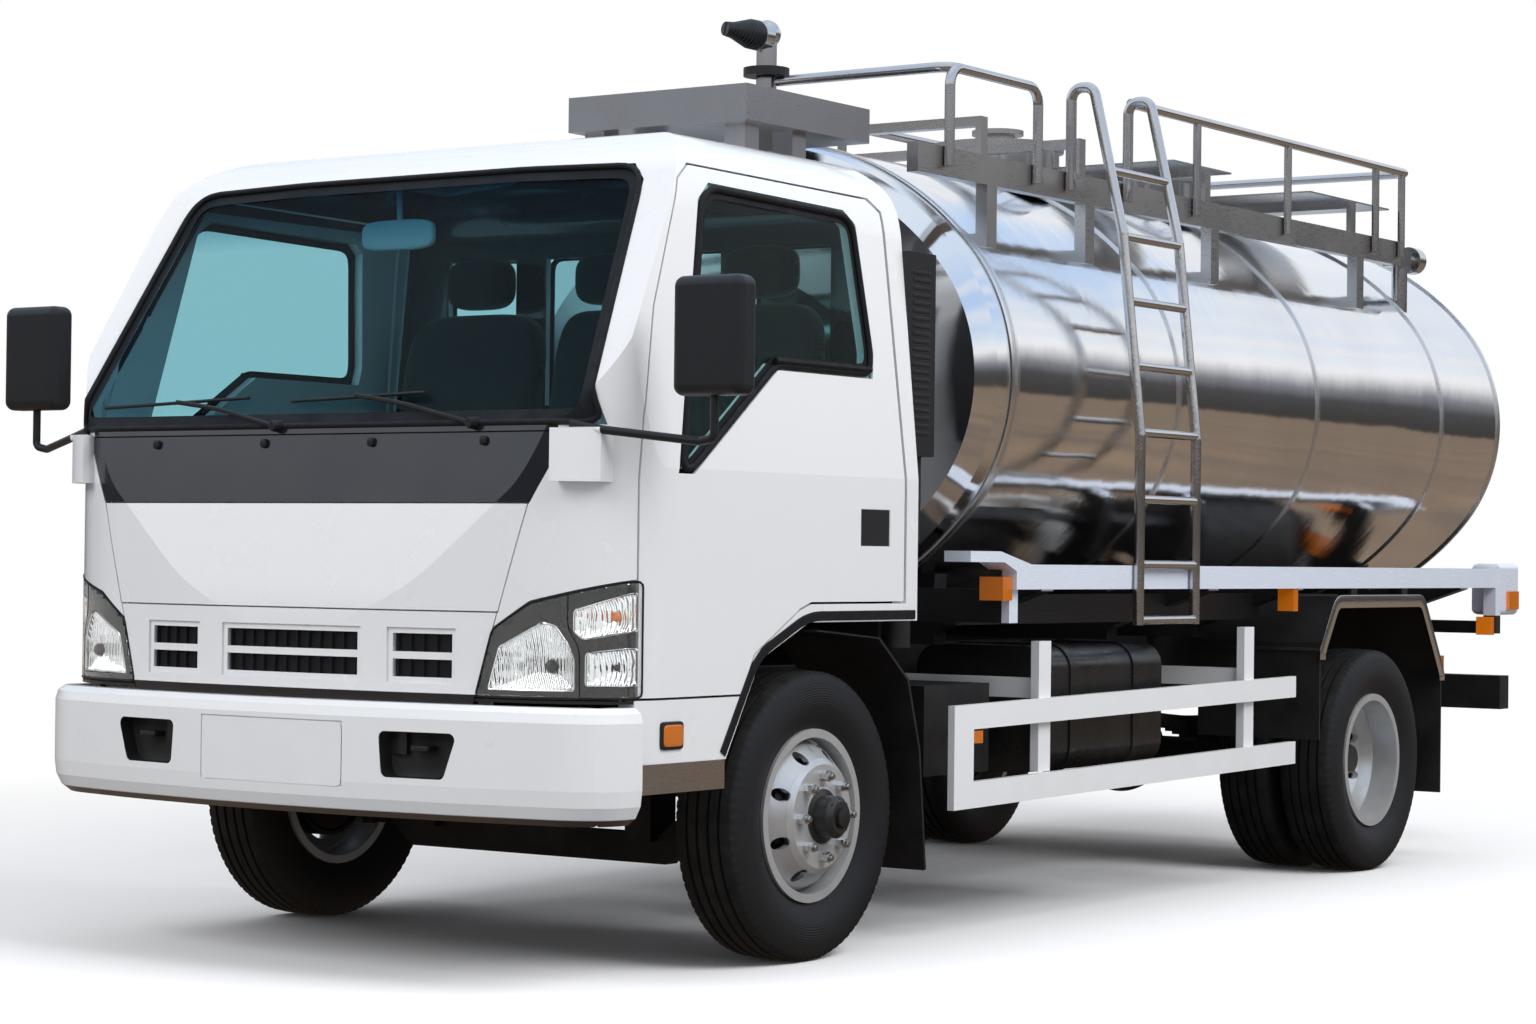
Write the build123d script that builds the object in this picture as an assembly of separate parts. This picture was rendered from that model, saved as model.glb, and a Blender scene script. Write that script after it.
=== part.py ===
"""Tanker truck: a forward-control cab, a ladder chassis on two axles and an oval stainless tank.

Millimetres. +Z is up, the truck faces -Y, its own left side is +X.
The origin lies on the ground in the middle of the truck's overall length and width.
"""

import os
from math import atan2, cos, sin

from build123d import *

os.makedirs("parts", exist_ok=True)

# ---------------------------------------------------------------- driving dimensions
# lengths along the truck, from the front axle
wheelbase = 3520
front_overhang = 1150
rear_overhang = 1500

# running clearances
seat_gap = 0.3          # between pieces that rest on each other on different bodies
shut_gap = 6            # round a closed door
rear_shut_gap = 13      # behind a closed door, where its thick edge swings back

# wheels and tyres
tyre_radius = 398.5
tyre_width = 220
rim_seat_radius = 222.2
rim_flange_radius = 238
rim_half_width = 88
rim_wall = 8
rim_flange = 12
disc_offset = 120       # from the rim's middle to the mating face of the disc
disc_thickness = 10
front_half_track = 860
dual_spacing = 2 * disc_offset
rear_mating_x = 820     # where the two discs of a twin wheel meet
stud_circle = 111
stud_count = 8
nut_radius = 15
nut_height = 26
hand_hole_radius = 18
hand_hole_circle = 172
hub_cap_radius = 58
hub_cap_height = 62
drum_radius = 155
drum_chamfer = 50
drum_wall = 12
front_drum_width = 160
rear_drum_width = 150
hub_bore = 80
hub_depth = 70          # from the disc's back to the end of its spindle

# steering
kingpin_x = 770
kingpin_radius = 16
steer_arm = 130         # behind the axle, straight back so that the tie rod stays parallel
arm_height = 20
tie_rod_radius = 15
fist_radius = 28
beam_bottom = 236       # the front beam drops this low between its springs
beam_depth = 84
beam_width = 56
lug_inner = 52          # half height between the knuckle's two lugs
lug_outer = 92
pin_clearance = 0.08

# chassis
rail_outer_x = 425
rail_width = 60
rail_height = 190
rail_top = 780
rail_wall = 8
underrun_top = 675      # the bar across the rear
underrun_height = 130
underrun_depth = 90
rail_front = -900       # from the front axle
rail_rear_cut = 360     # rails end this far in front of the truck's rear end

# cab
cab_half_width = 1000
cab_rear = 445          # from the front axle
cab_wall = 45
door_thickness = 50
cab_floor_z = 950
cab_bottom_z = 578
band_bottom_z = 1237
glass_base_z = 1432
glass_top_z = 2150
roof_z = 2285
glass_thickness = 8

# tank
tank_half_width = 950
tank_half_height = 762
tank_side_radius = 600
tank_axis_z = 1656
tank_front = 1040       # front ring, from the front axle
tank_length = 3830      # between the two end rings
dish_depth = 150
band_height = 7
band_width = 14

# deck frame beside the tank
deck_half_width = 1050
side_rail_width = 50
side_rail_top = 1092
side_rail_height = 74
deck_front = 920        # side rails, from the front axle
deck_rear = 4800
stringer_x = 820        # a second, hidden rail under each side of the deck
stringer_depth = 90
stringer_width = 40
stringer_end_gap = 560  # it ends this far in front of the rear axle
crossbeam_length = 50
crossbeam_height = 48
cap_width = 110         # rounded rear ends of the side rails
cap_height = 200
cap_radius = 60
cap_edge = 22
cap_proud = 2           # the cap's wrapper round the rail

# walkway and handrails on the tank
walk_outer_x = 790
walk_inner_x = -300
walk_front = 760        # outer beam, from the front axle
inner_beam_front = 1050
walk_rear = 4270
walk_beam_bottom = 2255
walk_beam_height = 90
walk_beam_width = 40
handrail_radius = 16
post_radius = 14
handrail_z = 2610
front_gate_z = 2585
ladder_front = 1650     # from the front axle
ladder_width = 380
ladder_radius = 17
ladder_bottom = 905

# ---------------------------------------------------------------- worked-out places
overall_length = front_overhang + wheelbase + rear_overhang
front_y = -overall_length / 2
rear_y = overall_length / 2
front_axle_y = front_y + front_overhang
rear_axle_y = front_axle_y + wheelbase
axle_z = tyre_radius
rail_bottom = rail_top - rail_height


def ahead(distance):
    """The Y of a place that lies this far behind the front axle."""
    return front_axle_y + distance


def save(part, name):
    """Writes one named piece; several solids stay one compound."""
    solids = part.solids()
    shape = solids[0] if len(solids) == 1 else Compound(children=list(solids))
    shape.label = name
    export_step(shape, f"parts/{name}.step")


def block(x0, x1, y0, y1, z0, z1):
    """A box between two corners."""
    return Pos((x0 + x1) / 2, (y0 + y1) / 2, (z0 + z1) / 2) * Box(x1 - x0, y1 - y0, z1 - z0)


def both(part):
    """A piece and its mirror image on the other side of the truck."""
    return part + mirror(part, Plane.YZ)


def turned_x(profile):
    """Turns an (x, radius) outline about the X axis."""
    face = make_face(Plane.XY * Polyline(*profile, close=True))
    return revolve(face, Axis.X)


def rod(start, end, radius):
    """A round bar between two points."""
    line = Line(start, end)
    return sweep(Plane(origin=line @ 0, z_dir=line % 0) * Circle(radius), path=line)


def bent_tube(points, radius, bend):
    """A round bar along straight runs with bends between them."""
    path = FilletPolyline(*points, radius=bend)
    return sweep(Plane(origin=path @ 0, z_dir=path % 0) * Circle(radius), path=path)


# ---------------------------------------------------------------- wheels
def tyre(centre_x):
    """A tyre round the X axis through the wheel's middle, its beads between the rim's flanges."""
    half = tyre_width / 2
    bead = rim_half_width - rim_flange
    flank = rim_flange_radius + 3
    outline = [
        (-bead, rim_seat_radius), (-bead, flank), (-half, 305), (-half + 2, 335),
        (-half + 13, 385), (-half + 24, tyre_radius),
    ]
    outline += [(-x, r) for x, r in reversed(outline)]
    return Pos(centre_x, 0, 0) * turned_x(outline)


def wheel_disc(centre_x, way):
    """A steel rim with its dished disc; the disc stands off the rim's middle towards way (+1 or -1)."""
    w = rim_half_width
    inner = rim_seat_radius - rim_wall
    barrel = [
        (-w, inner), (w, inner), (w, rim_flange_radius), (w - rim_flange, rim_flange_radius),
        (w - rim_flange, rim_seat_radius), (-w + rim_flange, rim_seat_radius),
        (-w + rim_flange, rim_flange_radius), (-w, rim_flange_radius),
    ]
    face = disc_offset
    back = disc_offset - disc_thickness
    dish = [
        (20, inner), (62, inner - 18), (face - 12, 158), (face, 142), (face, hub_bore),
        (back, hub_bore), (back, 138), (back - 12, 150), (50, inner - 26), (8, inner - 4), (8, inner),
    ]
    wheel = turned_x(barrel) + turned_x([(way * x, r) for x, r in dish])
    holes = [
        Rot(45 / 2 + 45 * k, 0, 0) * Pos(way * 80, 0, hand_hole_circle) * Rot(0, 90, 0)
        * Cylinder(hand_hole_radius, 130)
        for k in range(stud_count)
    ]
    wheel -= Part() + holes
    return Pos(centre_x, 0, 0) * wheel


def nuts(face_x, way):
    """The ring of wheel nuts standing on a disc's face."""
    spacing = 360 / stud_count
    return [
        Pos(face_x + way * nut_height / 2, 0, 0) * Rot(spacing * k, 0, 0) * Pos(0, 0, stud_circle)
        * Rot(0, 90, 0) * extrude(RegularPolygon(nut_radius, 6), amount=nut_height / 2, both=True)
        for k in range(stud_count)
    ]


def front_wheel():
    """Tyre, wheel and hub of the left front wheel, about its own axle at the origin's height."""
    mating_x = front_half_track + disc_offset
    back_x = mating_x - disc_thickness
    hub = turned_x([
        (mating_x + hub_cap_height, 0), (mating_x + hub_cap_height, hub_cap_radius - 14),
        (mating_x + hub_cap_height - 14, hub_cap_radius), (mating_x + 6, hub_cap_radius),
        (mating_x, hub_bore), (back_x, hub_bore), (back_x, drum_radius - drum_chamfer),
        (back_x - drum_chamfer, drum_radius), (back_x - front_drum_width, drum_radius),
        (back_x - front_drum_width, drum_radius - drum_wall),
        (back_x - drum_chamfer - drum_wall, drum_radius - drum_wall),
        (back_x - drum_chamfer - drum_wall, 60), (back_x - hub_depth, 60), (back_x - hub_depth, 0),
    ])
    hub += nuts(mating_x, 1)
    return tyre(front_half_track), wheel_disc(front_half_track, 1) + hub


def rear_wheels():
    """The twin tyres, the two discs back to back and the hub of the left rear wheel."""
    outer_x = rear_mating_x + dual_spacing / 2
    inner_x = rear_mating_x - dual_spacing / 2
    tyres = tyre(outer_x) + tyre(inner_x)
    discs = wheel_disc(outer_x, -1) + wheel_disc(inner_x, 1)
    face = rear_mating_x + disc_thickness
    back = rear_mating_x - disc_thickness
    hub = turned_x([
        (face + 120, 0), (face + 120, 46), (face + 96, hub_cap_radius), (face, hub_cap_radius + 8),
        (face, hub_bore), (back, hub_bore), (back, drum_radius - drum_chamfer),
        (back - drum_chamfer, drum_radius), (back - rear_drum_width, drum_radius),
        (back - rear_drum_width, drum_radius - drum_wall),
        (back - drum_chamfer - drum_wall, drum_radius - drum_wall),
        (back - drum_chamfer - drum_wall, 60), (back - hub_depth, 60), (back - hub_depth, 0),
    ])
    hub += nuts(face, 1)
    return tyres, discs + hub


for axle, y, pieces in (("front", front_axle_y, front_wheel()), ("rear", rear_axle_y, rear_wheels())):
    for side in ("left", "right"):
        for kind, piece in zip(("tyre", "wheel"), pieces):
            placed = Pos(0, y, axle_z) * piece
            if side == "right":
                placed = mirror(placed, Plane.YZ)
            save(placed, f"{axle}_{side}_{kind}")

# ---------------------------------------------------------------- knuckles, axles and running gear
knuckle_back_x = front_half_track + disc_offset - disc_thickness - hub_depth
arm_x = kingpin_x
arm_y = front_axle_y + steer_arm
arm_bottom = axle_z - lug_outer
tie_rod_z = arm_bottom - seat_gap - tie_rod_radius
tie_pin_radius = 8


def knuckle():
    """The left steering knuckle: two lugs on the kingpin, web, back plate, spindle and steering arm."""
    x, y = kingpin_x, front_axle_y
    web_x = x + fist_radius + 6
    body = block(x - 30, web_x + 14, y - 36, y + 36, axle_z - lug_outer, axle_z + lug_outer)
    body -= block(x - 40, web_x, y - 46, y + 46, axle_z - lug_inner, axle_z + lug_inner)
    body += block(arm_x - 14, arm_x + 14, y - 30, arm_y + 18, arm_bottom, arm_bottom + arm_height)
    body += Pos(arm_x, arm_y, arm_bottom - tie_rod_radius) * Cylinder(tie_pin_radius, 2 * tie_rod_radius)
    body -= Pos(x, y, axle_z) * Cylinder(kingpin_radius + pin_clearance, 2 * lug_outer + 10)
    plate_x = web_x + 14
    body += Pos(plate_x - 4, y, axle_z) * Rot(0, 90, 0) * Cylinder(drum_radius - 20, 8)
    length = knuckle_back_x - seat_gap - plate_x
    body += Pos(plate_x + length / 2, y, axle_z) * Rot(0, 90, 0) * Cylinder(36, length)
    return body


left_knuckle = knuckle()
save(left_knuckle, "knuckle_left")
save(mirror(left_knuckle, Plane.YZ), "knuckle_right")

tie_rod = Pos(0, arm_y, tie_rod_z) * Rot(0, 90, 0) * Cylinder(tie_rod_radius - 3, 2 * arm_x)
tie_rod += both(Pos(arm_x, arm_y, tie_rod_z) * Cylinder(24, 2 * tie_rod_radius))
tie_rod -= both(Pos(arm_x, arm_y, tie_rod_z) * Cylinder(tie_pin_radius + pin_clearance, 4 * tie_rod_radius))
save(tie_rod, "tie_rod")

spring_x = rail_outer_x - rail_width / 2
spring_width = 56
leaf = 10
front_seat_z = axle_z + 42
rear_tube_radius = 52
rear_seat_z = axle_z + rear_tube_radius + 6

beam_half = [
    (0, beam_bottom), (470, beam_bottom), (600, axle_z - 36), (kingpin_x, axle_z - 34),
    (kingpin_x, axle_z + 34), (600, axle_z + 34), (450, beam_bottom + beam_depth),
    (0, beam_bottom + beam_depth),
]
beam_face = make_face(Plane.XZ * Polyline(*beam_half, close=True))
beam = both(Pos(0, front_axle_y + beam_width / 2, 0) * extrude(beam_face, amount=beam_width, dir=(0, -1, 0)))
beam += both(block(spring_x - 45, spring_x + 45, front_axle_y - 60, front_axle_y + 60,
                   beam_bottom + beam_depth - 20, front_seat_z))
beam += both(Pos(kingpin_x, front_axle_y, axle_z) * Cylinder(fist_radius, 2 * (lug_inner - seat_gap)))
beam += both(Pos(kingpin_x, front_axle_y, axle_z) * Cylinder(kingpin_radius, 2 * lug_outer))
save(beam, "front_axle_beam")

hub_back_x = rear_mating_x - disc_thickness - hub_depth
housing = (Pos(0, rear_axle_y, axle_z) * Rot(0, 90, 0)
           * Cylinder(rear_tube_radius, 2 * (hub_back_x - seat_gap)))
diff_radius = 165
nose_length = 260
housing += Pos(0, rear_axle_y, axle_z) * Sphere(diff_radius)
housing += (Pos(0, rear_axle_y - nose_length / 2, axle_z + 20) * Rot(90, 0, 0)
            * Cylinder(70, nose_length))
housing += both(block(spring_x - 45, spring_x + 45, rear_axle_y - 60, rear_axle_y + 60,
                      axle_z - 10, rear_seat_z))
save(housing, "rear_axle_housing")


def leaf_pack(y, seat_z, leaves, half_length, rise):
    """A leaf spring on its axle seat: concentric leaves, each one shorter than the one above."""
    top_radius = (half_length ** 2 + rise ** 2) / (2 * rise)
    centre_z = seat_z + leaves * leaf + top_radius
    pack = Part()
    for k in range(leaves):
        reach = half_length * (1 - 0.62 * k / (leaves - 1))
        outer = Cylinder(top_radius + (k + 1) * leaf, spring_width)
        ring = outer - Cylinder(top_radius + k * leaf, spring_width)
        low = block(spring_x - spring_width, spring_x + spring_width, y - reach, y + reach,
                    seat_z - 1, seat_z + leaves * leaf + rise)
        pack += (Pos(spring_x, y, centre_z) * Rot(0, 90, 0) * ring) & low
    return pack


front_leaf_count = 6
rear_leaf_count = 8
front_spring_half = 560
rear_spring_half = 620
front_spring_rise = 62
rear_spring_rise = 40
springs = both(leaf_pack(front_axle_y, front_seat_z, front_leaf_count, front_spring_half, front_spring_rise))
springs += both(leaf_pack(rear_axle_y, rear_seat_z, rear_leaf_count, rear_spring_half, rear_spring_rise))
save(springs, "leaf_springs")

# ---------------------------------------------------------------- ladder frame
rails_front_y = ahead(rail_front)
rails_rear_y = rear_y - rail_rear_cut
rail = block(rail_outer_x - rail_width, rail_outer_x, rails_front_y, rails_rear_y, rail_bottom, rail_top)
rail -= block(rail_outer_x - rail_width - 1, rail_outer_x - rail_wall, rails_front_y - 1, rails_rear_y + 1,
              rail_bottom + rail_wall, rail_top - rail_wall)
frame = both(rail)
web_x = rail_outer_x - rail_wall
for place in (rail_front + 60, 1180, 2250, 3010, 4330, rails_rear_y - front_axle_y - 60):
    frame += block(-web_x, web_x, ahead(place) - 30, ahead(place) + 30,
                   rail_bottom + rail_wall + 20, rail_top - rail_wall - 20)
for y, half in ((front_axle_y, front_spring_half), (rear_axle_y, rear_spring_half)):
    for y0, y1 in ((y - half - 60, y - half), (y + half, y + half + 60)):
        frame += both(block(spring_x - 30, spring_x + 30, y0, y1, rail_bottom - 95, rail_bottom))

# ---------------------------------------------------------------- power train
shaft_radius = 38
shaft_z = axle_z + 20
engine_rear = 620
gearbox_rear = 960
engine = block(-290, 290, ahead(-60), ahead(engine_rear), 470, 890)
engine += block(-150, 150, ahead(engine_rear), ahead(gearbox_rear), 370, 640)
engine += both(block(280, web_x, ahead(120), ahead(220), 620, 680))
save(engine, "engine_and_gearbox")
shaft_length = rear_axle_y - nose_length - ahead(gearbox_rear)
shaft = (Pos(0, ahead(gearbox_rear) + shaft_length / 2, shaft_z) * Rot(90, 0, 0)
         * Cylinder(shaft_radius, shaft_length))
save(shaft, "propeller_shaft")

silencer_x = -600
silencer = (Pos(silencer_x, ahead(1500), 640) * Rot(90, 0, 0) * Cylinder(120, 560))
silencer += rod((silencer_x, ahead(1780), 640), (silencer_x, ahead(2700), 640), 35)
silencer += rod((silencer_x, ahead(1000), 640), (silencer_x, ahead(1220), 640), 35)
for place in (1300, 1700, 2500):
    silencer += block(silencer_x, -rail_outer_x, ahead(place) - 15, ahead(place) + 15, 625, 655)
save(silencer, "exhaust")

# ---------------------------------------------------------------- cab
front_face = -1080      # middle of the cab's front, from the front axle
arch_top_y = -105
arch_low_y = -490
panel_depth = 22        # thickness of the outer panels laid into the cab's wall
panel_gap = 4
glass_seat = 14         # depth of the rebate that the glass lies in
glass_lap = 18          # how far the glass laps over its opening


def bent_face(plane, corners, inset=0):
    """A flat outline of (place, place, bend radius) corners, drawn in by an inset with parallel bends."""
    face = make_face(plane * Polyline(*[corner[:2] for corner in corners], close=True))
    if inset:
        face = offset(face, -inset, kind=Kind.INTERSECTION)
    for a, b, radius in corners:
        if radius:
            near = face.vertices().sort_by_distance(plane.from_local_coords((a, b, 0)))
            face = fillet(near[:1], radius - inset)
    return face


def side_face(inset):
    """The cab seen from the side, drawn in by an inset."""
    corners = [
        (cab_rear, cab_floor_z - 20, 0), (cab_rear, 2130, 150), (330, roof_z - 15, 200), (-150, roof_z, 1500),
        (-480, 2232, 300), (-598, glass_top_z, 200), (-1000, glass_base_z, 0), (-1030, band_bottom_z, 0),
        (-1072, 960, 1000), (front_face, 760, 0), (front_face, cab_bottom_z, 0),
        (arch_low_y, cab_bottom_z, 0), (-337, 833, 0), (arch_top_y, cab_floor_z - 20, 0),
    ]
    return bent_face(Plane.YZ, [(ahead(y), z, radius) for y, z, radius in corners], inset)


def plan_face(inset):
    """The cab seen from above: a gently bowed front with round corners."""
    w = cab_half_width
    shoulder = 760
    line = [
        (w, ahead(cab_rear), 0), (w, ahead(-800), 200), (w - 35, ahead(-890), 200),
        (w - 120, ahead(-965), 300), (shoulder, ahead(-1017), 500), (380, ahead(-1066), 2500),
        (0, ahead(front_face), 4000),
    ]
    line += [(-x, y, radius) for x, y, radius in reversed(line[:-1])]
    return bent_face(Plane.XY, line, inset)


def front_outline(inset):
    """The cab seen from the front: upright sides that lean in above the waist, and a crowned roof."""
    w = cab_half_width
    half = [
        (w, cab_bottom_z - 100, 0), (w, 1330, 0), (w - 72, 2060, 400), (w - 105, 2160, 150),
        (w - 190, 2225, 230), (w - 420, 2268, 1200), (0, roof_z, 6000),
    ]
    return bent_face(Plane.XZ, half + [(-x, z, radius) for x, z, radius in reversed(half[:-1])], inset)


def cab_solid(inset=0):
    """The cab's outer shape drawn in by an inset: where its three views meet."""
    side = extrude(side_face(inset), amount=cab_half_width + 50, both=True)
    plan = Pos(0, 0, 300) * extrude(plan_face(inset), amount=2200, dir=(0, 0, 1))
    front = Pos(0, ahead(0), 0) * extrude(front_outline(inset), amount=1500, both=True)
    return side & plan & front


def through_front(points, y0=-1200, y1=-420, grow=0):
    """A symmetric opening through the front, from its right half's (x, z) corners."""
    line = [(x, z) for x, z in points] + [(-x, z) for x, z in reversed(points)]
    face = make_face(Plane.XZ * Polyline(*line, close=True))
    if grow:
        face = offset(face, grow, kind=Kind.INTERSECTION)
    return Pos(0, ahead(y1), 0) * extrude(face, amount=y1 - y0, dir=(0, -1, 0))


def through_side(points, x0, x1, grow=0, radius=0):
    """An outline of (distance behind the front axle, z) corners carried through one side."""
    face = make_face(Plane.YZ * Polyline(*[(ahead(y), z) for y, z in points], close=True))
    if radius:
        face = fillet(face.vertices(), radius)
    if grow:
        face = offset(face, grow, kind=Kind.INTERSECTION)
    return Pos(x0, 0, 0) * extrude(face, amount=x1 - x0, dir=(1, 0, 0))


outer = cab_solid()
under_panel = cab_solid(panel_depth)
glass_outer = cab_solid(glass_seat - glass_thickness)
glass_inner = cab_solid(glass_seat)
tunnel_half_width = 470
tunnel_top = 830
tunnel_front_y = ahead(-1020)
tunnel = block(-tunnel_half_width, tunnel_half_width, tunnel_front_y, ahead(600), 0, tunnel_top)
tunnel_cover = block(-tunnel_half_width - cab_wall, tunnel_half_width + cab_wall,
                     tunnel_front_y - cab_wall, ahead(600), 0, tunnel_top + cab_wall)
interior = cab_solid(cab_wall)
wall = (outer - tunnel) - (interior - tunnel_cover)

side_x = cab_half_width
windscreen = [
    (side_x - 95, 1452), (side_x - 110, 1500), (side_x - 200, 2080), (side_x - 240, 2118), (400, 2128)]
windscreen_clear = through_front(windscreen)
windscreen_seat = through_front(windscreen, grow=glass_lap)

door_front = -850
door_rear = 372
door_bottom = 745
waist_z = 1010          # below this the door is one thin layer outside the wheel arch
door_outline = [
    (door_front, door_bottom), (door_front, 1300), (-838, 1470), (-772, 1740), (-622, 2085),
    (-560, 2128), (290, 2118), (345, 2085), (door_rear, 1300), (door_rear, 985), (-95, 985), (-150, 968),
    (-365, 850), (-420, door_bottom),
]
rear_edge_y = ahead(door_rear)
door_window = [
    (-690, 1335), (-650, 1335), (-235, 1625), (225, 1625), (235, 1680), (190, 2030), (150, 2058),
    (-480, 2070), (-530, 2030),
]
inner_x = cab_half_width - door_thickness
beyond_x = cab_half_width + 60
door_zone = through_side(door_outline, 0, beyond_x)
door_hole = through_side(door_outline, 0, beyond_x, grow=shut_gap)
door_hole += through_side(
    [(-200, 985 - shut_gap), (-200, 2124), (290 + rear_shut_gap, 2124), (345 + rear_shut_gap, 2090),
     (door_rear + rear_shut_gap, 1300), (door_rear + rear_shut_gap, 985 - shut_gap)], 0, beyond_x)
side_band = block(cab_half_width - 155, beyond_x, ahead(-1000), ahead(cab_rear), waist_z, 2300)
side_band += block(inner_x, beyond_x, ahead(-1000), ahead(cab_rear), 600, waist_z)

rear_windows = []
for x0, x1 in ((-720, -440), (-330, 330), (440, 720)):
    rear_windows.append((x0, x1, 1560, 2010))

swing_room = block(inner_x - shut_gap, inner_x, ahead(-1000), ahead(cab_rear), 600, waist_z)
shell = wall - both(door_hole & (side_band + swing_room))
shell -= windscreen_clear
shell -= windscreen_seat - glass_inner
for x0, x1, z0, z1 in rear_windows:
    shell -= block(x0, x1, ahead(cab_rear - 200), ahead(cab_rear + 50), z0, z1)
    shell -= block(x0 - glass_lap, x1 + glass_lap, ahead(cab_rear - glass_seat), ahead(cab_rear + 50),
                   z0 - glass_lap, z1 + glass_lap)

# outer panels of the front, each laid into the wall
band = [(side_x - 249, band_bottom_z), (side_x - 152, 1415)]
bonnet = [(side_x - 333, 960), (side_x - 252, band_bottom_z - panel_gap)]
grille = [(side_x - 402, 722), (side_x - 336, 960 - panel_gap)]
panels = {}
for name, outline in (("cowl_band", band), ("front_panel", bonnet), ("grille_panel", grille)):
    zone = through_front(outline, y1=-800)
    panels[name] = (outer - under_panel) & zone
    shell -= through_front(outline, y1=-800, grow=panel_gap) - under_panel

slot_rows = ((787, 833), (852, 899))
slot_runs = ((-231, 231), (347, 530), (-530, -347))
recess_depth = 7
recess_lip = 15
recess = outer - cab_solid(recess_depth)
for x0, x1 in slot_runs:
    panels["grille_panel"] -= recess & block(x0 - recess_lip, x1 + recess_lip, ahead(-1200), ahead(-980),
                                             slot_rows[0][0] - recess_lip, slot_rows[-1][-1] + recess_lip)
    for z0, z1 in slot_rows:
        panels["grille_panel"] -= block(x0, x1, ahead(-1200), ahead(-980), z0, z1)

lamp_depth = 40
lamp_pocket = 34
lamp_zone_points = [
    (side_x - 394, 742), (side_x - 345, 915), (side_x - 240, 985), (side_x + 60, 1062), (side_x + 60, 742)]
lamp_windows = (        # corners of the three lenses: distance in from the cab's side, height
    [(358, 763), (326, 872), (207, 934), (177, 927), (150, 885), (133, 844), (132, 763)],
    [(134, 966), (22, 1012), (22, 914), (112, 892), (134, 913)],
    [(108, 858), (22, 872), (22, 776), (108, 776)],
)


def lamp_zone(y1, grow=0):
    """The space of the left headlamp, which wraps round the cab's corner."""
    face = make_face(Plane.XZ * Polyline(*lamp_zone_points, close=True))
    if grow:
        face = offset(face, grow, kind=Kind.INTERSECTION)
    return Pos(0, ahead(y1), 0) * extrude(face, amount=400, dir=(0, -1, 0))


lamp_back = cab_solid(lamp_depth)
lamp = (outer - lamp_back) & lamp_zone(-858)
pocket_depth = outer - cab_solid(lamp_pocket)
for window in lamp_windows:
    window_face = make_face(Plane.XZ * Polyline(*[(side_x - inward, z) for inward, z in window], close=True))
    lamp -= pocket_depth & (Pos(0, ahead(-820), 0) * extrude(window_face, amount=400, dir=(0, -1, 0)))
shell -= both(lamp_zone(-858 + panel_gap, panel_gap) - lamp_back)

bumper_top = 722
bumper_rear = -862
shell -= block(-1100, 1100, ahead(-1300), ahead(bumper_rear + 4), 0, bumper_top + 8)

roof_split = 2152
roof_cut = block(-1200, 1200, ahead(-1200), ahead(600), roof_split, 2500)
roof = shell & roof_cut
shell -= roof_cut
save(shell, "cab_shell")
save(roof, "cab_roof")
for name, piece in panels.items():
    save(piece, name)
save(both(lamp), "headlamps")

windscreen_glass = (glass_outer - glass_inner) & windscreen_seat
save(windscreen_glass, "windscreen_glass")
rear_glass = Part()
for x0, x1, z0, z1 in rear_windows:
    rear_glass += block(x0 - glass_lap, x1 + glass_lap, ahead(cab_rear - glass_seat),
                        ahead(cab_rear - glass_seat + glass_thickness), z0 - glass_lap, z1 + glass_lap)
save(rear_glass, "rear_window_glass")

door = (wall & side_band) & door_zone
door -= through_side(door_window, 0, beyond_x)
door -= through_side(door_window, 0, beyond_x, grow=glass_lap) - glass_inner
door_glass = (glass_outer - glass_inner) & through_side(door_window, 0, beyond_x, grow=glass_lap)
handle_y, handle_z = 222, 1190
recess = block(cab_half_width - 22, beyond_x, ahead(handle_y - 75), ahead(handle_y + 75),
               handle_z - 52, handle_z + 52)
door -= recess
handle = block(cab_half_width - 22, cab_half_width - 2, ahead(handle_y - 75), ahead(handle_y + 75),
               handle_z - 52, handle_z + 52)
door += handle
for side in ("left", "right"):
    for name, piece in (("", door), ("_glass", door_glass)):
        save(piece if side == "left" else mirror(piece, Plane.YZ), f"door_{side}{name}")

# ---------------------------------------------------------------- bumper, steps and front mudguards
bumper_bottom = 425
bumper_thickness = 70
bumper_plan = [         # X, distance behind the front axle, bend radius
    (side_x + 8, -700, 0), (side_x + 8, -912, 150), (side_x - 15, -975, 120), (side_x - 100, -1040, 250),
    (side_x - 400, -1102, 2000), (250, -1143, 2000), (0, -front_overhang, 0),
]
bumper_section = [      # height, inset
    (bumper_bottom, 44), (444, 20), (474, 5), (515, 0), (684, 0), (708, 7), (bumper_top, 26)]
plate_seat = (500, 172)      # width and height of the blank plate's seat
plate_bottom = 499
plate_depth = 4
fog_depth = 50
fog_corner = 18


def bumper_face(inset):
    """The bumper seen from above, filled back to a straight line across the cab."""
    line = [(x, ahead(y), radius) for x, y, radius in bumper_plan]
    line += [(-x, y, radius) for x, y, radius in reversed(line[:-1])]
    return bent_face(Plane.XY, line, inset)


def upright(face, z0, z1):
    """A flat outline carried up from z0 to z1."""
    return Pos(0, 0, z0) * extrude(face, amount=z1 - z0, dir=(0, 0, 1))


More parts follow.
